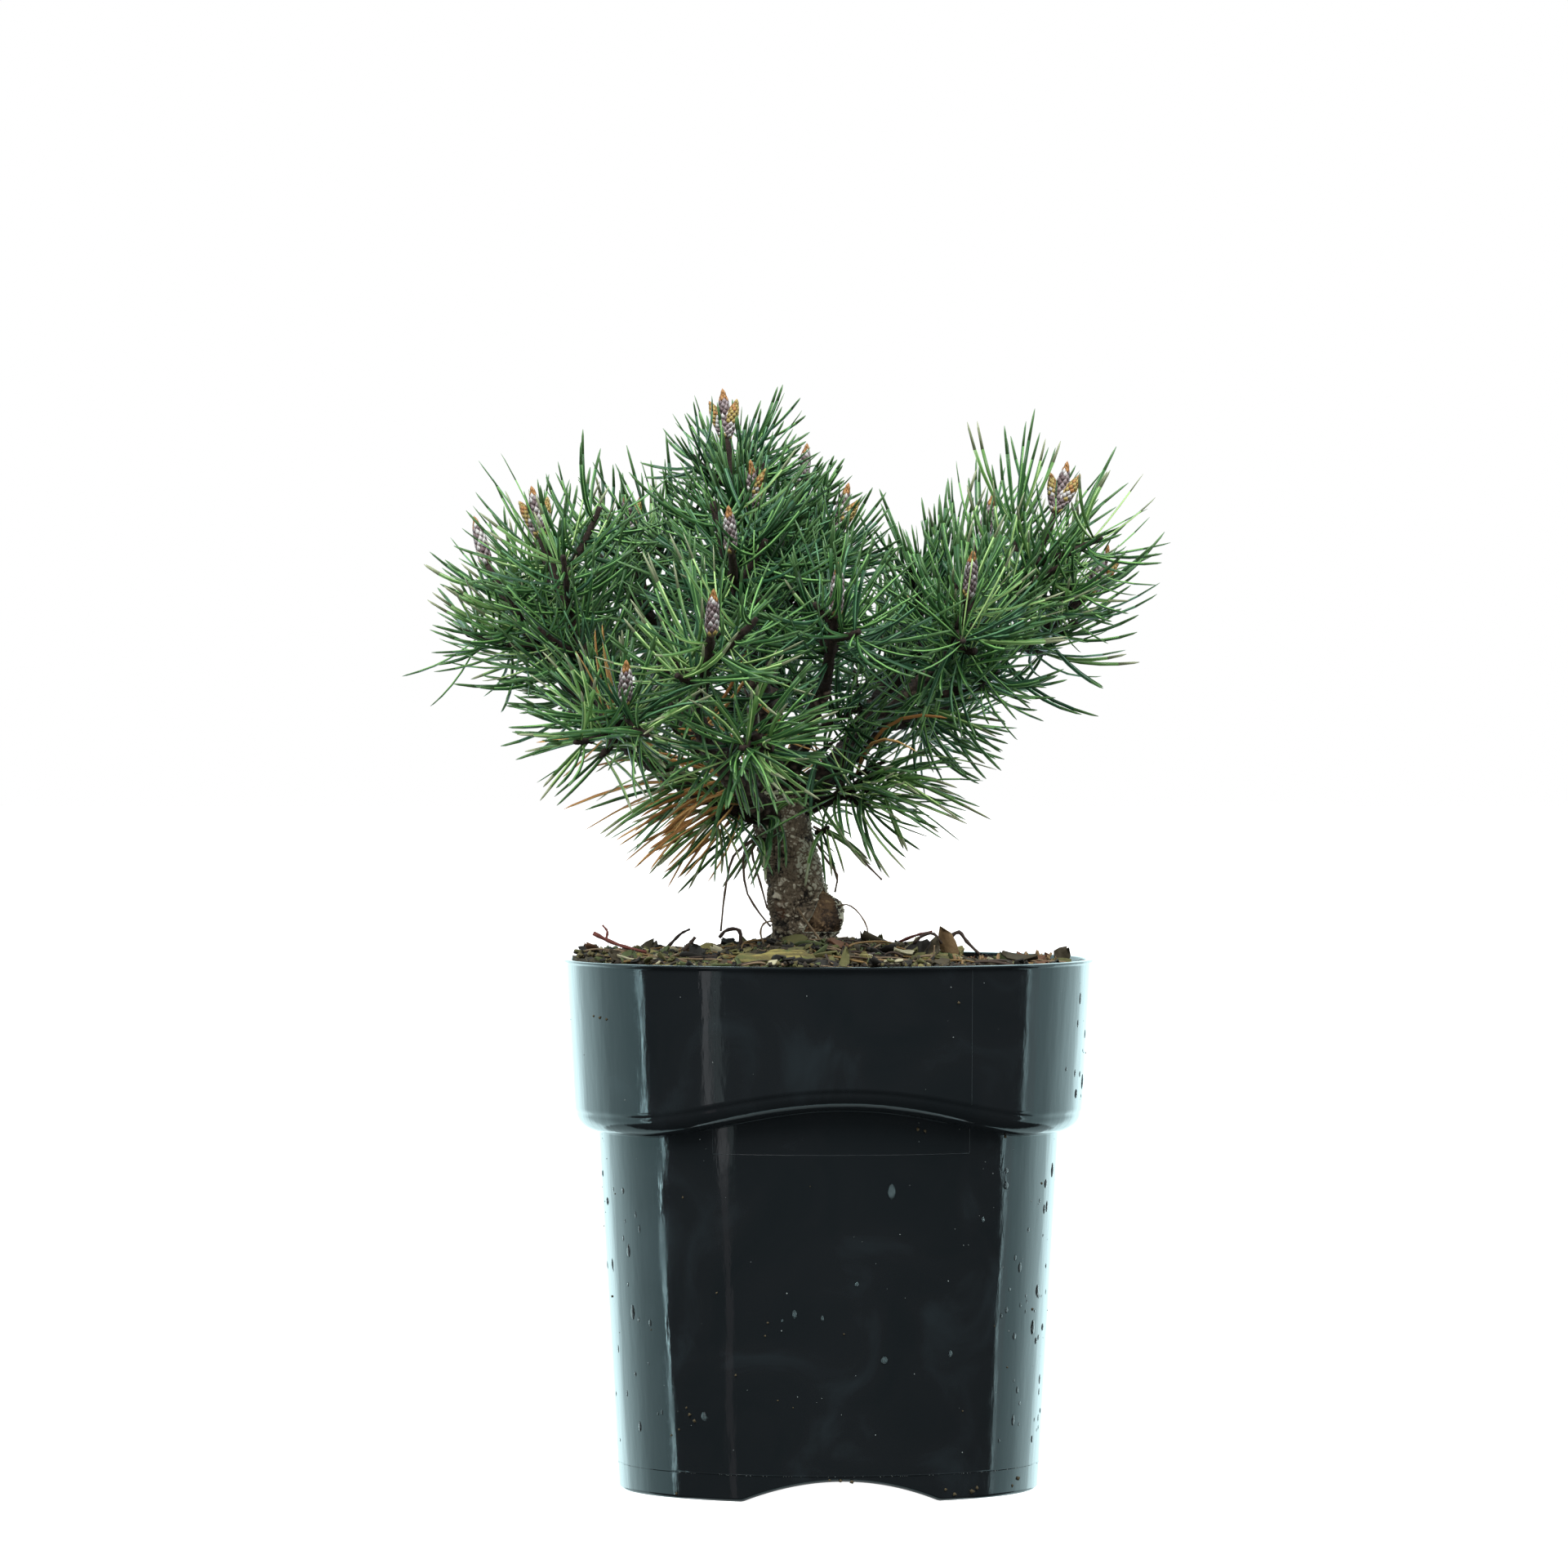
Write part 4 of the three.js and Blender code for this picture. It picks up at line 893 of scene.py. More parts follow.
def crumb_points(centre, size, seed):
    """Lumps with six corners, each corner at its own distance."""
    ways = np.array([[1, 0, 0], [0, 1, 0], [-1, 0, 0], [0, -1, 0], [0, 0, 1], [0, 0, -1.0]])
    k = np.arange(len(centre) * 6).reshape(-1, 6)
    reach = size[:, None] * (0.6 + 0.6 * chance(seed, k))
    first = k[:, :1]
    spun = turned(ways[None] * reach[..., None], 6 * chance(seed + 1, first), 3 * chance(seed + 2, first),
                  3 * chance(seed + 3, first))
    return spun + centre[:, None]


CRUMB_FACES = np.array([[0, 1, 4], [1, 2, 4], [2, 3, 4], [3, 0, 4],
                        [1, 0, 5], [2, 1, 5], [3, 2, 5], [0, 3, 5]])


def put_crumbs(name, points, finish):
    """Puts lumps of six points each into one mesh."""
    put_mesh(name, points, repeat_faces([CRUMB_FACES], 6, len(points)), [finish])


def crumb_pieces():
    """Crumbs of compost among the flakes, a third of them drawn in round the trunk's foot."""
    k = np.arange(CRUMBS)
    x, y, _ = mulch_places(CRUMBS, 330, 1.0 + 0 * k)
    pull = np.where(k % 3 == 0, 0.32, 1.0)
    x = TRUNK_X + (x - TRUNK_X) * pull
    y = y * pull
    keep = np.hypot(x - TRUNK_X, y) > 8
    centre = np.stack([x, y, ground_height(x, y) + 0.3 + 1.4 * chance(331, k)], -1)[keep]
    size = (0.45 + 0.9 * chance(332, k) ** 2)[keep]
    points = crumb_points(centre, size, 333)
    pale = chance(334, np.arange(len(points))) < 0.25
    for name, colour, chosen in (("crumbs_dark", "#231d13", points[~pale]),
                                 ("crumbs_olive", "#4d4728", points[pale])):
        put_crumbs(name, chosen, plain_finish(name, colour, 0.95, 0.5, 0.2))


def stick_points(lines, radii, sides):
    """Round rods along rows of points: lines is (count, steps, 3), radii (count, steps)."""
    tangent = unit(np.gradient(lines, axis=1))
    side = unit(np.cross(tangent, FRAME_GUIDE))
    front = np.cross(tangent, side)
    turn = np.linspace(0, 2 * np.pi, sides, endpoint=False)
    ring = (side[:, :, None] * np.cos(turn)[None, None, :, None]
            + front[:, :, None] * np.sin(turn)[None, None, :, None])
    return lines[:, :, None] + ring * radii[:, :, None, None]


def rounded_line(places, steps):
    """A smooth line through a few places: at each step a cubic Hermite curve whose slopes are the
    half differences of the neighbouring places."""
    places = np.array(places, float)
    slopes = np.gradient(places, axis=0)
    t = np.linspace(0, len(places) - 1, steps)
    i = np.minimum(t.astype(int), len(places) - 2)
    u = (t - i)[:, None]
    return ((2 * u ** 3 - 3 * u ** 2 + 1) * places[i] + (u ** 3 - 2 * u ** 2 + u) * slopes[i]
            + (3 * u ** 2 - 2 * u ** 3) * places[i + 1] + (u ** 3 - u ** 2) * slopes[i + 1])


# Old needles and fibres that hang beside the trunk: places along each
HANGING_THREADS = [
    [(-22, -9, 208), (-27, -10, 205), (-26.6, -10, 192.5), (-22.6, -10, 185), (-18.6, -9, 180)],
    [(-24, -9, 208), (-30.5, -10, 202.5), (-33.2, -11, 191), (-34.5, -12, 178.6)],
    [(-21, -9, 207), (-24.6, -10, 204.5), (-21.9, -10, 194), (-19.7, -10, 186)],
    [(-4, -7, 207), (-0.5, -8, 201), (2.7, -9, 196.5), (2, -9, 191)],
    [(-5, -8, 212), (6, -9, 206), (13, -10, 199), (17, -10, 195)],
]
# Bare wood, fine roots and dried needles: dull brown to straw, all matt
STICK_TINTS = {
    "twig_dark": "#2f2219",
    "twig_red": "#58281e",
    "root_pale": "#675741",
    "hanging_threads": "#55483a",
    "old_needles": "#66502a",
}
STICK_STEPS = 10
STICK_SIDES = 5


def stick_pieces():
    """Twigs, fine roots and old needles lying in the mulch by a seeded rule, and the ones that stand
    out of it."""
    groups = {name: [] for name in STICK_TINTS}
    for name, count, seed in (("twig_dark", STICKS // 2, 340), ("root_pale", STICKS // 2, 350),
                              ("old_needles", OLD_NEEDLES, 360)):
        k = np.arange(count)
        length = 6 + 14 * chance(seed, k)
        if name == "old_needles":
            length = 14 + 12 * chance(seed, k)
        x, y, _ = mulch_places(count, seed + 1, length)
        turn = 2 * np.pi * chance(seed + 3, k)
        t = np.linspace(-0.5, 0.5, STICK_STEPS)
        bend = (chance(seed + 4, k) - 0.5)[:, None] * length[:, None] * (t ** 2)[None] * 1.6
        arch = (1.2 * chance(seed + 5, k))[:, None] * (1 - 4 * t ** 2)[None]
        cos, sin, reach = np.cos(turn)[:, None], np.sin(turn)[:, None], length[:, None]
        line = np.stack([x[:, None] + cos * reach * t - sin * bend,
                         y[:, None] + sin * reach * t + cos * bend, arch], -1)
        lift = 2.2 * chance(seed + 6, k)[:, None] ** 2
        line[..., 2] += ground_height(line[..., 0], line[..., 1]) + 0.6 + lift
        thick = 0.45 if name == "old_needles" else 0.28 + 0.4 * chance(seed + 7, k)[:, None] ** 2
        radii = thick * (1 - 0.5 * (t + 0.5))[None] * np.ones((count, 1))
        groups[name].append(stick_points(line, radii, STICK_SIDES))
    hanging = [("hanging_threads", 0.46, 0.3, places) for places in HANGING_THREADS]
    for name, foot, end, places in STANDING_TWIGS + hanging:
        line = rounded_line(places, STICK_STEPS)[None]
        radii = np.linspace(foot, end, STICK_STEPS)[None] * (1 + 0.2 * np.sin(np.arange(STICK_STEPS) * 2.3))
        groups[name].append(stick_points(line, radii, STICK_SIDES))
    for name, parts in groups.items():
        points = np.concatenate(parts)
        put_mesh(name, points, many_tubes(STICK_STEPS, STICK_SIDES, len(points)),
                 [plain_finish(name, STICK_TINTS[name], 0.85, 0.6, 0.2)])


def chip_pieces():
    """Each bark chip as rings along its length: a flat oval section with ragged sides, roughened by
    noise that is stretched along the fibres."""
    along = np.linspace(-1, 1, CHIP_RINGS)
    turn = np.linspace(0, 2 * np.pi, CHIP_SIDES, endpoint=False)
    for number, ((x, y), length, width, heading, rise, roll) in enumerate(CHIPS, 1):
        place = np.stack([along, 0 * along, 0 * along + number * 9], -1)
        ragged = 1 + 0.35 * value_noise(place, 0.35, 80 + number)
        half = width / 2 * np.clip(1 - np.abs(along) ** 4, 0.04, 1) ** 0.6 * ragged
        thick = CHIP_THICKNESS / 2 * np.clip(1 - np.abs(along) ** 6, 0.06, 1) ** 0.5
        side, up = signed_power(np.cos(turn), 0.7), signed_power(np.sin(turn), 0.6)
        shape = np.stack([along[:, None] * length / 2 * np.ones_like(side), half[:, None] * side,
                          thick[:, None] * up + 0.5 * np.sin(along * 2.2)[:, None] * np.ones_like(side)], -1)
        fibre = rough_noise(shape * [0.22, 1.4, 1.4], 1.6, 90 + number)
        shape[..., 2] += 0.5 * fibre * (0.3 + 0.7 * (up > 0))
        shape[..., 1] += 0.25 * fibre
        points = turned(shape, math.radians(heading), 0.03, roll)
        points = points + np.array([x, y, ground_height(x, y) + rise])
        moss = value_noise(shape * [0.7, 1, 1], 3, 95 + number)
        marks = {"relief": np.clip(0.75 + 0.6 * fibre, 0, 1.4).ravel(),
                 "moss": np.clip(moss + 0.2, 0, 1).ravel()}
        put_mesh(f"bark_chip_{number}_shredded", points, tube_faces(CHIP_RINGS, CHIP_SIDES), [CHIP_WOOD],
                 [f"bark_chip_{number}"], None, marks)


# Water and dirt on the pot
def wall_frame(turn, height):
    """A place on the pot's outer wall, with its outward normal, its level tangent and the way up."""
    collar = height > collar_edge(turn) + SHOULDER_HEIGHT
    radius = body_radius(height) + COLLAR_STEP * collar
    round_way = np.stack([np.cos(turn), np.sin(turn), 0 * turn], -1)
    normal = unit(round_way - np.array([0, 0, BODY_TAPER]))
    level = np.stack([-np.sin(turn), np.cos(turn), 0 * turn], -1)
    place = round_way * radius[:, None] + np.stack([0 * turn, 0 * turn, height], -1)
    return place, normal, level, np.cross(normal, level)


# Groups of drops: count, two angles from the front in degrees, two heights, seed
DROP_GROUPS = [
    (46, 50, 82, 14, 104, 501),
    (26, -84, -50, 14, 104, 511),
    (9, -45, 45, 14, 100, 521),
    (10, 56, 84, 124, 160, 531),
    (14, 110, 250, 14, 104, 541),
]
DROP_RINGS, DROP_SIDES = 5, 12


def water_drops():
    """Beads of water on the wall, by a seeded rule for each group of them: flat domes that are longer
    downwards."""
    parts = []
    t = np.linspace(0, np.pi / 2, DROP_RINGS)
    around = np.linspace(0, 2 * np.pi, DROP_SIDES, endpoint=False)
    for count, start, end, low, high, seed in DROP_GROUPS:
        k = np.arange(count)
        turn = np.radians(-90 + start + (end - start) * chance(seed, k))
        place, normal, level, up = wall_frame(turn, low + (high - low) * chance(seed + 1, k))
        size = 0.5 + 1.0 * chance(seed + 2, k) ** 2
        tall = size * (1.1 + 1.2 * chance(seed + 3, k) ** 3)
        reach = np.cos(t)[None, :, None]
        x = reach * np.cos(around)[None, None] * size[:, None, None]
        z = reach * np.sin(around)[None, None] * tall[:, None, None]
        x = x * (1 - 0.3 * np.clip(z / tall[:, None, None], 0, 1))
        y = np.sin(t)[None, :, None] * 0.34 * size[:, None, None] * np.ones_like(x) - 0.05
        parts.append(place[:, None, None] + level[:, None, None] * x[..., None]
                     + up[:, None, None] * z[..., None] + normal[:, None, None] * y[..., None])
    points = np.concatenate(parts)
    # Clean water: clear and smooth, so each drop carries a small sharp light
    water, _, _, _ = finish_of("clear_water", "#ffffff", Roughness=0.02, IOR=1.333,
                               Transmission_Weight=1.0)
    put_mesh("water_drops", points, many_tubes(DROP_RINGS, DROP_SIDES, len(points)), [water])


# Dirt that shows: angle from the front in degrees, height, size
DIRT_SPOTS = [
    (3, 7.2, 1.3), (6, 6.8, 1.0), (0, 7.4, 0.8), (36, 2, 1.3), (42, 2.6, 1.6), (44, 3.4, 1.1), (33, 3.6, 0.9),
    (63, 5, 1.4), (60, 3, 0.9), (-46, 1.6, 1.0), (22, 118, 1.2), (24, 117.4, 1.0), (49, 114.6, 1.1),
    (-61, 152, 1.2), (-58, 151.6, 1.0), (-64, 152.4, 0.7), (-40, 27, 1.1), (-38.5, 25, 1.3), (-41, 29, 0.8),
    (-44, 22, 0.9), (-47, 20, 0.8), (29, 158, 0.9), (-78, 62, 0.8), (-30, 66, 0.7), (-16, 57, 0.8),
]
WALL_CRUMBS = 34
WALL_DUST = 240
LINE_DUST = 320


def wall_dirt():
    """Crumbs of compost and pale limescale dust stuck to the wall, both matt: the crumbs that show, more
    by a seeded rule all round, and dust caught along the foot line."""
    spots = np.array(DIRT_SPOTS, float)
    place, _, _, _ = wall_frame(np.radians(-90 + spots[:, 0]), spots[:, 1])
    k = np.arange(WALL_CRUMBS)
    more, _, _, _ = wall_frame(2 * np.pi * chance(551, k), 10 + 150 * chance(552, k) ** 1.3)
    dark = np.concatenate([place, more])
    size = np.concatenate([spots[:, 2] * 0.7, 0.25 + 0.35 * chance(553, k)])
    put_crumbs("wall_crumbs", crumb_points(dark, size, 554),
               plain_finish("dried_compost", "#3c341e", 0.9, 0.5, 0.2))
    k = np.arange(WALL_DUST + LINE_DUST)
    in_line = k >= WALL_DUST
    height = np.where(in_line, FOOT_LINE - 0.25 + 0.3 * chance(562, k), 12 + 152 * chance(562, k))
    specks, _, _, _ = wall_frame(2 * np.pi * chance(561, k), height)
    small = np.where(in_line, 0.12 + 0.1 * chance(563, k), 0.12 + 0.2 * chance(563, k) ** 2)
    put_crumbs("wall_dust", crumb_points(specks, small, 564),
               plain_finish("limescale_dust", "#6e7776", 0.8, 0.5, 0.1))


# Trunk and boughs
def wound_shield(points):
    """1 inside the cut's shield outline, 0 outside: in the cut's plane it is an arch with an upright
    point above and a flat foot."""
    middle = BURL_CENTRE + WOUND_DEPTH * WOUND_FACING + np.array(WOUND_SHIFT)
    offset = points - middle
    across = offset @ unit(np.cross([0, 0, 1.0], WOUND_FACING))
    up = offset[..., 2]
    half = WOUND_HALF * np.clip(1 - (up + 6) / 14.5, 0, 1) ** 0.72
    inside = smooth_step(0.7, -0.3, np.abs(across - 0.15 * (up + 6)) - half)
    inside = inside * smooth_step(-6.6, -5.8, up)
    return inside * (offset @ WOUND_FACING > -4)


def trunk_piece():
    """The trunk as rings along its curve. Its radius is the solids' taper, joined with the burl's
    sphere by a smooth maximum, raised in a few knobs, roughened by plates and noise, and cut at the
    wound's plane inside its shield."""
    along = np.linspace(0, 1, TRUNK_STEPS)[:, None]
    turn = np.linspace(0, 2 * np.pi, TRUNK_STEPS, endpoint=False)
    centre = trunk_path(along[:, 0])
    _, side, front = frames_at(trunk_path, along[:, 0])
    out = side[:, None] * np.cos(turn)[None, :, None] + front[:, None] * np.sin(turn)[None, :, None]
    radius = trunk_radius(along) * np.ones_like(turn)
    offset = BURL_CENTRE - centre
    reach = (out * offset[:, None]).sum(-1)
    depth = BURL_RADIUS ** 2 - (offset ** 2).sum(-1)[:, None] + reach ** 2
    burl = np.where(depth > 0, reach + np.sqrt(np.maximum(depth, 0)), 0)
    radius = (radius ** 8 + np.maximum(burl, 0) ** 8) ** (1 / 8)
    smooth = centre[:, None] + out * radius[..., None]
    for place, size, height in KNOBS:
        away = np.linalg.norm(smooth - np.array(place), axis=-1)
        radius = radius + height * np.exp(-(away / size) ** 2)
    facing = (out * WOUND_FACING).sum(-1)
    plane = ((BURL_CENTRE + WOUND_DEPTH * WOUND_FACING - centre) * WOUND_FACING).sum(-1)[:, None]
    limit = np.where(facing > 0.05, plane / np.maximum(facing, 0.05), 99)
    wound = wound_shield(smooth)
    lip = np.exp(-((wound - 0.5) / 0.3) ** 2)
    base = centre[:, None] + out * radius[..., None]
    bent = base + 1.5 * np.stack([rough_noise(base, 4.5, seed, 3) for seed in (41, 42, 43)], -1)
    crack, owner = plates(bent * [1, 1, 1.5], TRUNK_PLATE, 5)
    fine, _ = plates(bent * [1, 1, 1.3], TRUNK_FLAKE, 9)
    swell = rough_noise(base, 7, 31)
    height = smooth_step(0.0, 0.6, crack) * (0.3 + 0.7 * owner) + 0.4 * smooth_step(0, 0.5, fine)
    height = height + 0.25 * rough_noise(base, 1.6, 48, 3)
    relief = (height - 0.6) * 0.8 + 0.7 * swell + 0.6 * np.maximum(0, rough_noise(base, 2.4, 47)) ** 2
    rough = radius + relief
    cut = np.minimum(rough, np.maximum(limit, 5)) - 0.7 + 0.25 * rough_noise(base * [1, 1, 3], 2.2, 61)
    radius = rough * (1 - wound) + np.minimum(rough - 0.6, cut) * wound + 0.8 * lip
    points = centre[:, None] + out * radius[..., None]
    points[0, :, 2] -= SETTLED + 1
    faces = tube_faces(len(points), len(turn))
    tints = np.zeros(sum(len(rows) for rows in faces))
    tints[:len(faces[0])] = (wound[:-1] > 0.75).ravel()
    right = smooth_step(-2, 5, base[..., 0] - centre[:, None, 0])
    blot = rough_noise(base * [1, 1, 0.6], 8, 77, 4)
    lichen = np.clip(0.42 + 0.42 * right + 0.9 * blot + 0.6 * lip, 0, 1)
    lichen = lichen * smooth_step(-0.1, 0.7, height + 0.4 * lip)
    streak = np.exp(-((base - np.array(RUST_PLACE)) ** 2 / np.array(RUST_SIZE) ** 2).sum(-1))
    marks = {
        "relief": np.clip(0.1 + height + 0.3 * swell - 0.8 * lip * (wound > 0.1), 0, 1.4).ravel(),
        "lichen": (lichen * smooth_step(0.8, 0.6, wound)).ravel(),
        "rust": np.clip(1.2 * streak * (0.7 + blot), 0, 1).ravel(),
    }
    put_mesh("trunk_bark", points, faces, [TRUNK_BARK, WOUND_WOOD], ["trunk"], tints, marks)


def limb_rings(path, radius_at, rings, columns, seed, roughness):
    """Rings along a limb with needle-scar scales: plates raised on the round, and slow swelling."""
    along = np.linspace(0, 1, rings)
    turn = np.linspace(0, 2 * np.pi, columns, endpoint=False)
    centre = path(along)
    _, side, front = frames_at(path, along)
    out = side[:, None] * np.cos(turn)[None, :, None] + front[:, None] * np.sin(turn)[None, :, None]
    base = centre[:, None] + out * radius_at(along)[:, None, None]
    crack, owner = plates(base, NEEDLE_SCAR, seed)
    height = smooth_step(0, 0.4, crack) * (0.7 + 0.6 * owner)
    relief = roughness * ((height - 0.7) + 0.5 * rough_noise(base, 5, seed + 3))
    points = base + out * relief[..., None]
    return points, height


def bough_pieces():
    """One bark mesh for each bough, along the solids' path and taper."""
    for index, (name, (start, tip, sag, foot, end)) in enumerate(BOUGHS.items()):
        path = sag_path(trunk_path(start), tip, sag)
        points, height = limb_rings(path, lambda t: foot + (end - foot) * t, BOUGH_RINGS, BOUGH_SIDES,
                                    50 + index, 0.75)
        put_mesh(f"bark_{name}", points, tube_faces(BOUGH_RINGS, BOUGH_SIDES), [SHADED_BOUGH_BARK],
                 [name], None, {"relief": height.ravel()})


# Shoots
class Shoot:
    """A shoot: its path, length, radii, the share of it that is bare, its needles' spread and size, its
    buds, how far the needles hang, how many pairs there are and the share of them that is dead."""

    def __init__(self, path, foot, end, bare, spread, seed, size, buds=0):
        self.path, self.foot, self.end, self.bare = path, foot, end, bare
        self.spread, self.seed, self.size, self.buds = spread, seed, size, buds
        self.samples = path(np.linspace(0, 1, 9))
        self.length = np.linalg.norm(self.samples[-1] - self.samples[0])
        self.hang = 0.0
        self.pairs = max(10, int(self.length * (1 - bare) * PAIRS_PER_MM))
        self.dead = 0.0


def side_twig(main, seed, index, share):
    """The solids' side twig: it leaves by a seeded turn about the stem, leans off it and lifts."""
    along = TWIG_START + TWIG_STEP * (index + 0.4 * chance(seed, index))
    if along > 0.94:
        along = 0.3 + 0.6 * chance(seed, 60 + index)
    axis, side, front = frames_at(main.path, along)
    turn = GOLDEN_TURN * index + 2 * np.pi * chance(seed, 10 + index)
    length = main.length * share * (0.8 + 0.4 * chance(seed, 20 + index))
    foot = main.path(along)
    out = side * np.cos(turn) + front * np.sin(turn)
    tip = foot + length * (axis * np.cos(TWIG_LEAN) + out * np.sin(TWIG_LEAN))
    tip = tip + np.array([0, 0, TWIG_LIFT * length])
    return sag_path(foot, tip, TWIG_LIFT * length)


def grow_shoots():
    """All shoots of the crown: the solids' main shoots and side twigs, finer twigs by the same rule
    where they keep clear of limbs and other shoots, and the spurs."""
    limbs = {"trunk": (trunk_path, trunk_radius)}
    for name, (start, tip, sag, foot, end) in BOUGHS.items():
        limbs[name] = (sag_path(trunk_path(start), tip, sag), lambda t, a=foot, b=end: a + (b - a) * t)
    shoots = []
    for number, (limb, _, start, tip, sag, twigs, buds, spread, size) in enumerate(MASSES, 1):
        main = Shoot(sag_path(limbs[limb][0](start), tip, sag), STEM_FOOT, STEM_END, MAIN_BARE,
                     math.radians(spread), number, size, buds)
        shoots.append(main)
        for index in range(TWIG_TRIES):
            path = side_twig(main, number, index, TWIG_SHARE if index < twigs else FINE_TWIG_SHARE)
            twig = Shoot(path, TWIG_FOOT, TWIG_END, TWIG_BARE, main.spread, number + 31 * (index + 1),
                         size * 0.9)
            clear = min(away_from(path(np.linspace(0, 1, 9)), twig.samples[4:]).min()
                        for path, _ in limbs.values())
            room = min(away_from(other.samples, twig.samples[5:]).min() for other in shoots)
            if clear > TWIG_ROOM and room > SHOOT_ROOM:
                shoots.append(twig)
    for number, (foot, tip, spread, size, hang, pairs, dead) in enumerate(SPURS, 400):
        spur = Shoot(sag_path(foot, tip, 1), SPUR_FOOT, SPUR_END, SPUR_BARE, math.radians(spread), number,
                     size)
        spur.hang, spur.pairs, spur.dead = hang, pairs, dead
        shoots.append(spur)
    return limbs, shoots


def twig_piece(shoots):
    """The wood of all shoots, joined: a rough tube along each path."""
    points = []
    for shoot in shoots:
        rings, _ = limb_rings(shoot.path, lambda t: shoot.foot + (shoot.end - shoot.foot) * t, TWIG_RINGS,
                              TWIG_SIDES, 70 + shoot.seed, 0.4)
        points.append(rings)
    put_mesh("twigs", np.stack(points), many_tubes(TWIG_RINGS, TWIG_SIDES, len(shoots)), [TWIG_BARK])


# Columns of a row for a pair of needles: its root, its direction, the shoot's axis, the pair's length,
# its share of the way along the shoot, its draw for a tint, and the shoot's seed, hang and dead share
ROOT, WAY, AXIS = slice(0, 3), slice(3, 6), slice(6, 9)
LENGTH, SHARE, DRAW, SEED, HANG, DEAD = range(9, 15)


def lay_needles(shoots, limbs):
    """Pairs of needles on every shoot: placed along it at the golden turn, leaning off it by the
    shoot's spread, less towards its tip, with seeded differences. Fewer and shorter ones are kept on
    the shaded underside, fewer in front of buds, and none that would touch a limb or the ground.
    Returns one row for each pair."""
    rows = []
    for shoot in shoots:
        count = shoot.pairs
        k = np.arange(count)
        share = (k + 0.5) / count
        along = shoot.bare + (0.93 - shoot.bare) * share
        axis, side, front = frames_at(shoot.path, along)
        turn = GOLDEN_TURN * k + 2 * np.pi * chance(shoot.seed, 40)
        turn = turn + 0.5 * (chance(shoot.seed, 300 + k) - 0.5)
        lean = shoot.spread * (1.6 - 0.3 * share) + math.radians(26) * (chance(shoot.seed, 500 + k) - 0.5)
        out = side * np.cos(turn)[:, None] + front * np.sin(turn)[:, None]
        direction = axis * np.cos(lean)[:, None] + out * np.sin(lean)[:, None]
        below = np.maximum(0, -direction[:, 2])
        length = NEEDLE_LENGTH * shoot.size * (1 - 0.24 * share + 0.12 * chance(shoot.seed, 100 + k))
        length = length * (0.76 + 0.28 * chance(shoot.seed, 700 + k)) * (1 - 0.22 * below)
        root = shoot.path(along) + out * (shoot.end * 0.6)
        kept = (chance(shoot.seed, 1300 + k) > SHED_BELOW * below) | (shoot.hang > 0)
        parted = (shoot.buds > 0) & (share > 0.45) & (out[:, 1] < -0.55)
        kept &= ~parted | (chance(shoot.seed, 1700 + k) < 0.35)
        row = np.column_stack([root, direction, axis, length, share, chance(shoot.seed, 900 + k),
                               np.full(count, shoot.seed), np.full(count, shoot.hang),
                               np.full(count, shoot.dead)])
        rows.append(row[kept])
    rows = np.concatenate(rows)
    root, direction, length = rows[:, ROOT], rows[:, WAY], rows[:, LENGTH]
    keep = np.ones(len(rows), bool)
    for part in (0.35, 0.6, 0.85, 1.0):
        point = root + direction * (length * part)[:, None]
        for path, radius_at in limbs.values():
            keep &= away_from(path(np.linspace(0, 1, 12)), point) > radius_at(np.array(0.5)) + 0.8
        keep &= point[:, 2] > GROUND + 3
    return rows[keep]


# A needle's half-round section, the places of its rings along it, their widths, and how many of the
# rings are its body's; the rest are its tip's
SECTION = np.array([[-0.5, 0], [0.5, 0], [0.33, 0.38], [-0.33, 0.38]])
RING_PLACES = np.array([0, 0.2, 0.42, 0.62, 0.8, 0.95, 1.0])
RING_WIDTHS = np.array([0.6, 0.95, 1.0, 1.0, 0.94, 0.64, 0.15])
BODY_RINGS = 5


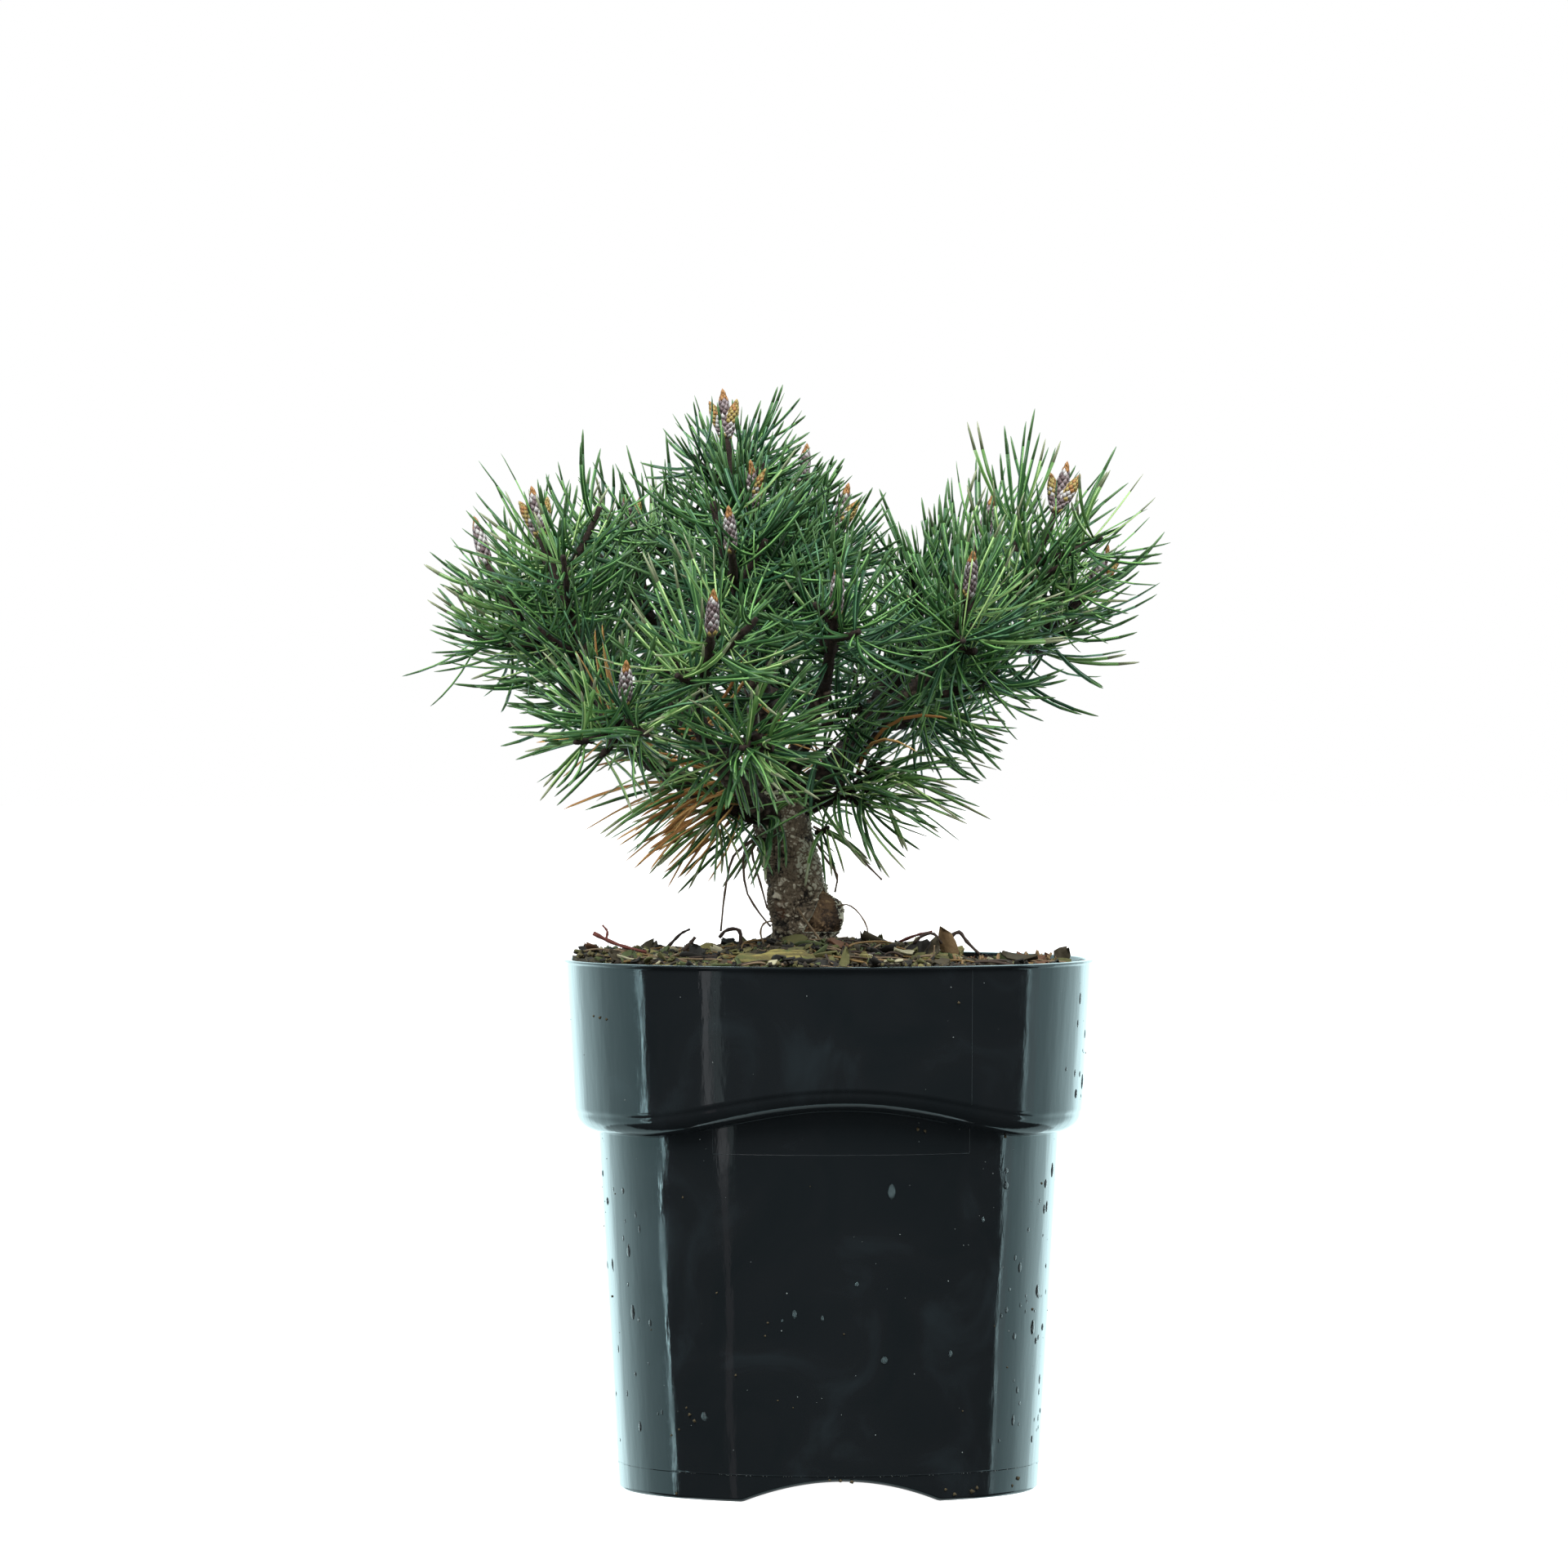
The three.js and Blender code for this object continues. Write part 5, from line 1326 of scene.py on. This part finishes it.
def needle_points(rows):
    """Both needles of each pair as rings of a half-round section. A needle's line is
    root + length (direction s + bend s^2); the pair parts by a small angle, flat faces inwards. The
    bend turns it towards the shoot's tip, a little sideways, and down by its own weight, low on the
    plant, or up towards the light, high on it."""
    count = len(rows)
    root, direction, axis = rows[:, ROOT], rows[:, WAY], rows[:, AXIS]
    length, seed, hang = rows[:, LENGTH], rows[:, SEED], rows[:, HANG]
    draw = [chance(seed * 3.7 + 11, np.arange(count) * 0.731 + 17 * i) for i in range(8)]
    across = unit(np.cross(direction, axis))
    spin = np.pi * draw[0]
    parting = across * np.cos(spin)[:, None] + np.cross(direction, across) * np.sin(spin)[:, None]
    forward = unit(axis - direction * (axis * direction).sum(-1, keepdims=True))
    weight = 0.24 - 0.37 * smooth_step(220, 250, root[:, 2]) + hang
    shapes = []
    for hand in (1, -1):
        apart = np.radians(4 + 9 * draw[1]) * hand
        line = unit(direction + parting * apart[:, None])
        normal = unit(parting - line * (parting * line).sum(-1, keepdims=True)) * hand
        bend = forward * ((0.2 + 0.44 * draw[2]) * (1 - 0.3 * rows[:, SHARE]))[:, None]
        bend = bend + parting * (hand * 0.08 * (draw[3] - 0.3))[:, None]
        sideways = 0.34 * (draw[4] - 0.5) + 0.1 * (draw[5 if hand > 0 else 6] - 0.5)
        bend = bend + across * sideways[:, None] - np.array([0, 0, 1.0]) * weight[:, None]
        stretch = np.linalg.norm(direction + bend, axis=-1)
        full = length * (0.95 + 0.08 * draw[6 if hand > 0 else 7]) / np.maximum(stretch, 0.8)
        twist = 0.9 * (draw[7 if hand > 0 else 6] - 0.5)
        shapes.append((root + normal * 0.25, line, normal, bend, full, twist))
    root, line, normal, bend, full, twist = (np.concatenate(part) for part in zip(*shapes))
    s = RING_PLACES
    centre = root[:, None] + full[:, None, None] * (line[:, None] * s[None, :, None]
                                                    + bend[:, None] * (s * s)[None, :, None])
    tangent = unit(line[:, None] + 2 * bend[:, None] * s[None, :, None])
    across = unit(np.cross(normal[:, None], tangent))
    outward = np.cross(tangent, across)
    angle = (twist[:, None] * s)[..., None]
    x_way = across * np.cos(angle) + outward * np.sin(angle)
    y_way = outward * np.cos(angle) - across * np.sin(angle)
    ring = x_way[:, :, None] * SECTION[None, None, :, :1] + y_way[:, :, None] * SECTION[None, None, :, 1:]
    return centre[:, :, None] + ring * (NEEDLE_WIDTH * RING_WIDTHS)[None, :, None, None]


def needle_pieces(rows):
    """Needles dealt out by pair to tinted pieces, with their tips in two pieces of their own."""
    points = needle_points(rows)
    limits = np.cumsum([share for _, share, *_ in NEEDLE_TINTS])
    root = rows[:, ROOT]
    # Painted shade: needles near the crown's middle get deeper tints. Painted light: the lowest needles get
    # fresher tints where the crown shades them.
    outer = smooth_step(28, 88, np.linalg.norm(root - CROWN_MIDDLE, axis=1))
    low = smooth_step(243, 222, root[:, 2])
    pair = 0.42 * rows[:, DRAW] + 0.2 * rows[:, SHARE] + 0.12 * chance(rows[:, SEED], 5)
    pair = pair + 0.3 * outer + 0.26 * low - 0.06
    tint = np.minimum(np.searchsorted(limits, pair * limits[-1]), len(NEEDLE_TINTS) - 1)
    old = (root[:, 2] < 246) & (rows[:, SHARE] < 0.6) & (np.abs(root[:, 0] + 30) < 42)
    dead = chance(rows[:, DRAW] * 97, 3) < np.maximum(DEAD_SHARE * old, rows[:, DEAD])
    tint = np.where(dead, len(NEEDLE_TINTS), tint)
    tint = np.concatenate([tint, tint])
    names = [f"needles_{name}" for _, name, *_ in MASSES]
    for index, (name, _, face_tint, margin_highlight_tint, shine) in enumerate(NEEDLE_TINTS + [DEAD_TINT]):
        withered = name == DEAD_TINT[0]
        rings = len(RING_PLACES) if withered else BODY_RINGS
        chosen = points[tint == index][:, :rings]
        faces = many_tubes(rings, 4, len(chosen))
        tints = np.zeros(sum(len(part) for part in faces))
        # The two slanted side faces of each needle take the paler margin tint, a painted highlight
        margin_highlight = np.tile(np.arange((rings - 1) * 4) % 2 == 1, len(chosen))
        tints[:len(margin_highlight)] = margin_highlight
        gloss = 0.7 if withered else 0.38
        materials = [plain_finish(name, face_tint, gloss, 0.5, 0.05, Specular_IOR_Level=shine),
                     plain_finish(f"{name}_margin", margin_highlight_tint, gloss + 0.08, 0.5, 0.05,
                                  Specular_IOR_Level=shine)]
        put_mesh(name, chosen, faces, materials, names if index == 0 else (), tints)
    for name, colour, chosen in (("needle_tip_green", "#486a3e", tint < 3),
                                 ("needle_tip_horn", "#7d8668", (tint == 3) | (tint == 4))):
        tips = points[chosen][:, BODY_RINGS - 1:]
        put_mesh(name, tips, many_tubes(tips.shape[1], 4, len(tips)),
                 [plain_finish(name, colour, 0.45, 0.5, 0.05, Specular_IOR_Level=0.35)])


# A bud's outline: places along it and the share of its full radius at each
BUD_PROFILE = ([0, 0.06, 0.16, 0.5, 0.72, 0.88, 1], [0.6, 0.84, 1, 0.97, 0.84, 0.5, 0.06])
BUD_STEPS = 12
SCALES_EACH = 84
# Bud scales: papery and half matt, grey-brown to rust, with dull white crusts of dried resin
BUD_TINTS = [
    ("bud_scales_grey", "#73686a"),
    ("bud_scales_dark", "#57484a"),
    ("bud_scales_brown", "#8b6231"),
    ("bud_scales_yellow", "#8b7a42"),
    ("bud_resin", "#a3a1a0"),
]


def bud_pieces(shoots):
    """Winter buds: a blunt spindle, and over it close rows of small pointed scales laid like tiles at
    the golden turn, with crusts of white resin. The first bud of a shoot is grey-brown with an
    orange-brown point, the ones beside it are yellower."""
    cores, scales, tints = [], [], []
    t = np.linspace(0, 1, BUD_STEPS)
    profile = np.interp(t, *BUD_PROFILE)
    turn = np.linspace(0, 2 * np.pi, BUD_STEPS, endpoint=False)
    k = np.arange(SCALES_EACH)
    up = 0.01 + 0.9 * (k + 0.5) / SCALES_EACH
    for shoot in shoots:
        axis, _, _ = frames_at(shoot.path, 1.0)
        axis = unit(axis + np.array([0, 0, BUD_UPRIGHT]))
        side = unit(np.cross(FRAME_GUIDE, axis))
        for index in range(shoot.buds):
            splay = (0, BUD_SPLAY, -BUD_SPLAY)[index]
            size = (1, 0.84, 0.78)[index] * (0.92 + 0.16 * chance(shoot.seed, 60 + index))
            line = unit(axis * np.cos(splay) + side * np.sin(splay))
            x_way = unit(np.cross(FRAME_GUIDE, line))
            y_way = np.cross(line, x_way)
            foot = shoot.path(1.0) - line
            radius = BUD_RADIUS * (0.8 + 0.2 * size)
            out = x_way * np.cos(turn)[:, None] + y_way * np.sin(turn)[:, None]
            core = foot + line * (t * BUD_LENGTH * size)[:, None, None]
            cores.append(core + out[None] * (radius * 0.9 * profile)[:, None, None])
            around = GOLDEN_TURN * k
            way = x_way * np.cos(around)[:, None] + y_way * np.sin(around)[:, None]
            edge = np.cross(line, way)
            reach = radius * np.interp(up, *BUD_PROFILE)
            ahead = radius * np.interp(up + 0.13, *BUD_PROFILE)
            span = BUD_LENGTH * size * 0.13
            half = (0.2 * reach + 0.35)[:, None]
            low = foot + line * (up * BUD_LENGTH * size)[:, None] + way * (reach * 0.86)[:, None]
            tip = low + line * span + way * (ahead - reach * 0.86 + 0.05)[:, None]
            middle = (low + tip) / 2
            scales.append(np.stack([low - edge * half * 0.8, low + edge * half * 0.8, middle + edge * half,
                                    tip, middle - edge * half, middle + way * 0.12, middle - way * 0.3], 1))
            pick = chance(shoot.seed + 5 * index, k)
            young = index > 0
            tint = np.where(pick < 0.52, 0, np.where(pick < 0.74, 1, 4))
            tint = np.where(up > 0.7 + 0.1 * pick, 2, tint)
            tint = np.where(young & (up > 0.2 + 0.4 * pick), np.where(pick < 0.7, 3, 2), tint)
            tint = np.where((up < 0.1) & (pick < 0.6), 3, tint)
            tints.append(tint)
    put_mesh("bud_cores", np.stack(cores), many_tubes(BUD_STEPS, BUD_STEPS, len(cores)),
             [plain_finish("bud_core", "#52403c", 0.7, 0.6, 0.1)])
    scales, tints = np.concatenate(scales), np.concatenate(tints)
    top = np.array([[0, 1, 5], [1, 2, 5], [2, 3, 5], [3, 4, 5], [4, 0, 5]])
    bottom = np.array([[1, 0, 6], [2, 1, 6], [3, 2, 6], [4, 3, 6], [0, 4, 6]])
    for number, (name, colour) in enumerate(BUD_TINTS):
        part = scales[tints == number]
        put_mesh(name, part, repeat_faces([np.concatenate([top, bottom])], 7, len(part)),
                 [plain_finish(name, colour, 0.6, 0.5, 0.08)])


# Stage: a plain pale floor and white surround, dark cards that only reflections see, and soft lamps
WORLD_LIGHT = 1.0
FLOOR_GLOW = 1.0
CARD_REACH = 0.46
CARD_FOOT = -0.1
CARD_KNEE = 0.05
CARD_TOP = 1.2
CARD_STEPS = 60
FLOOR_HALF = 12.0
# Cards, each a little nearer than the one before it: name, two angles from the front in degrees,
# colour, height of foot and top, strength
STUDIO_CARDS = [
    ("dark_room", -84.9, 91, "#0b1012", CARD_FOOT, CARD_TOP, 1.0),
    ("left_strip", -85.3, -84.9, "#e4f6fa", CARD_FOOT, CARD_TOP, 30.0),
    ("right_strip", 91, 92.2, "#e4f6fa", CARD_FOOT, CARD_TOP, 5.0),
    ("right_dim_strip", 92.2, 98.5, "#e4f6fa", CARD_FOOT, CARD_TOP, 1.2),
    ("dark_room_foot", -88, 93.6, "#0b1012", CARD_FOOT, CARD_KNEE, 1.0),
    ("left_strip_foot", -88.4, -88, "#e4f6fa", CARD_FOOT, CARD_KNEE, 28.0),
    ("right_strip_foot", 93.6, 94.8, "#e4f6fa", CARD_FOOT, CARD_KNEE, 5.0),
    ("front_dim_strip", -53.4, -49, "#ffdcdc", 0.045, CARD_TOP, 1.5),
    ("front_dim_edge", -48.4, -44.8, "#f4e6e4", 0.045, CARD_TOP, 0.8),
    ("front_dim_foot", -52.4, -48.6, "#ffccce", CARD_FOOT, 0.045, 0.4),
]
# Rings under the pot, which its foot and the lower side of its collar mirror: radii in metres
BELOW_START, BELOW_END = -112, 119
BELOW_RADIUS = 0.1105
LIGHT_BELOW_RADII = (0.0938, 0.1026)
BACK_START, BACK_END = 98.5, 360 - 85.4


def stage_mesh(name, points, faces, material):
    """A mesh of the studio, in metres, that isn't part of the object."""
    mesh = bpy.data.meshes.new(name)
    mesh.from_pydata(points, [], faces)
    mesh.materials.append(material)
    piece = bpy.data.objects.new(name, mesh)
    bpy.context.scene.collection.objects.link(piece)
    return piece


def floor():
    """A large plain pale floor that glows evenly, as an overexposed white sweep does, and a darker one
    under it, which only diffuse light sees, so that less light comes back up."""
    half = FLOOR_HALF
    for name, height, colour, glow, seen in (("floor", 0, "#bcbcbc", FLOOR_GLOW, True),
                                             ("floor_bounce", -0.0005, "#8a8c8c", 0.45, False)):
        corners = [(-half, -half, height), (half, -half, height), (half, half, height), (-half, half, height)]
        material, _, shader, _ = finish_of(f"{name}_card", colour, Roughness=0.9)
        shader.inputs["Emission Color"].default_value = linear("#ffffff")
        shader.inputs["Emission Strength"].default_value = glow
        piece = stage_mesh(name, corners, [(0, 1, 2, 3)], material)
        piece.visible_glossy = False
        piece.visible_camera = seen
        piece.visible_diffuse = not seen


def glow_finish(name, colour, strength):
    """Plain light of one colour, as strong as strength times the mesh's own glow value."""
    material = bpy.data.materials.new(f"studio_{name}")
    material.use_nodes = True
    tree = material.node_tree
    tree.nodes.clear()
    glow = add(tree, "ShaderNodeAttribute", attribute_name="glow").outputs["Fac"]
    power = add(tree, "ShaderNodeMath", {0: glow, 1: strength}, operation="MULTIPLY")
    light = add(tree, "ShaderNodeEmission", {"Color": linear(colour), "Strength": power.outputs[0]})
    made = add(tree, "ShaderNodeOutputMaterial")
    tree.links.new(light.outputs[0], made.inputs["Surface"])
    return material


def reflection_card(name, start, end, colour, near, far, strength, glow=None):
    """Part of a ring round the pot, from its near edge to its far edge, each a radius and a height in
    metres, that shows only in reflections. glow varies its strength along it."""
    turns = np.radians(np.linspace(start, end, CARD_STEPS) - 90)
    way = np.stack([np.cos(turns), np.sin(turns), 0 * turns], -1)
    rings = [way * reach + np.array([0, 0, height]) + POT_AXIS for reach, height in (near, far)]
    faces = [(i, i + 1, i + 1 + CARD_STEPS, i + CARD_STEPS) for i in range(CARD_STEPS - 1)]
    points = [tuple(map(float, point)) for point in np.concatenate(rings)]
    card = stage_mesh(name, points, faces, glow_finish(name, colour, strength))
    values = np.ones(CARD_STEPS) if glow is None else glow
    card.data.attributes.new("glow", "FLOAT", "POINT").data.foreach_set("value", np.tile(values, 2))
    card.visible_camera = False
    card.visible_diffuse = False
    card.visible_shadow = False
    card.visible_transmission = False


def surround():
    """An even white world, and the cards that the glossy pot mirrors."""
    world = bpy.data.worlds.new("studio")
    bpy.context.scene.world = world
    world.use_nodes = True
    background = world.node_tree.nodes["Background"]
    background.inputs["Color"].default_value = (1, 1, 1, 1)
    background.inputs["Strength"].default_value = WORLD_LIGHT
    for index, (name, start, end, colour, foot, top, strength) in enumerate(STUDIO_CARDS):
        reach = CARD_REACH - 0.001 * (index + 1)
        reflection_card(name, start, end, colour, (reach, foot), (reach, top), strength)
    near, far = (BELOW_RADIUS, CARD_FOOT), (CARD_REACH, CARD_FOOT)
    reflection_card("dark_below", BELOW_START, BELOW_END, "#10171a", near, far, 1.0)
    reflection_card("dim_below", BELOW_END, BELOW_START + 360, "#d9f5f9", near, far, 0.9)
    inner, outer = ((radius, CARD_FOOT) for radius in LIGHT_BELOW_RADII)
    reflection_card("light_below", 0, 360, "#e4f6fa", inner, outer, 2.0)
    behind = -np.cos(np.radians(np.linspace(BACK_START, BACK_END, CARD_STEPS)))
    glow = 1.3 + 0.8 * smooth_step(0.25, 0.6, behind) + smooth_step(0.68, 0.76, behind)
    reflection_card("bright_back", BACK_START, BACK_END, "#d9f5f9", far, (CARD_REACH, CARD_TOP), 1.0,
                    glow - 0.9 * smooth_step(0.82, 0.94, behind))


def lamp(name, place, aim, size, power):
    """A square area lamp at a place in metres, turned to face its aim."""
    light = bpy.data.lights.new(name, "AREA")
    light.size = size
    light.energy = power
    piece = bpy.data.objects.new(name, light)
    piece.location = place
    way = np.array(aim, float) - np.array(place, float)
    tilt = math.acos(-way[2] / np.linalg.norm(way))
    piece.rotation_euler = (tilt, 0, math.atan2(way[1], way[0]) - math.pi / 2)
    bpy.context.scene.collection.objects.link(piece)


CAMERA_PLACE = np.array([-14.3, -3400, 280])
AIM_HEIGHT = 225.5
LENS, SENSOR = 243.4, 36


def camera():
    """Level with the crown, far off in front, looking down by under a degree at the photo's framing."""
    data = bpy.data.cameras.new("camera")
    data.sensor_width = SENSOR
    data.lens = LENS
    data.clip_end = 100
    piece = bpy.data.objects.new("camera", data)
    piece.location = CAMERA_PLACE * MM + POT_AXIS
    down = math.atan((CAMERA_PLACE[2] - AIM_HEIGHT) / -CAMERA_PLACE[1])
    piece.rotation_euler = (math.pi / 2 - down, 0, 0)
    bpy.context.scene.collection.objects.link(piece)
    bpy.context.scene.camera = piece


camera()
floor()
surround()
lamp("soft_left", (-1.3, -1.3, 2.4), (0, 0, 0.25), 1.2, 105)
lamp("soft_right", (1.4, -1.0, 2.2), (0, 0, 0.25), 1.2, 75)
bpy.context.scene.view_settings.view_transform = "Standard"

pot_piece()
mould_lines()
soil_piece()
mulch_pieces()
crumb_pieces()
stick_pieces()
chip_pieces()
water_drops()
wall_dirt()
trunk_piece()
bough_pieces()
limbs, shoots = grow_shoots()
twig_piece(shoots)
rows = lay_needles(shoots, limbs)
needle_pieces(rows)
bud_pieces(shoots)
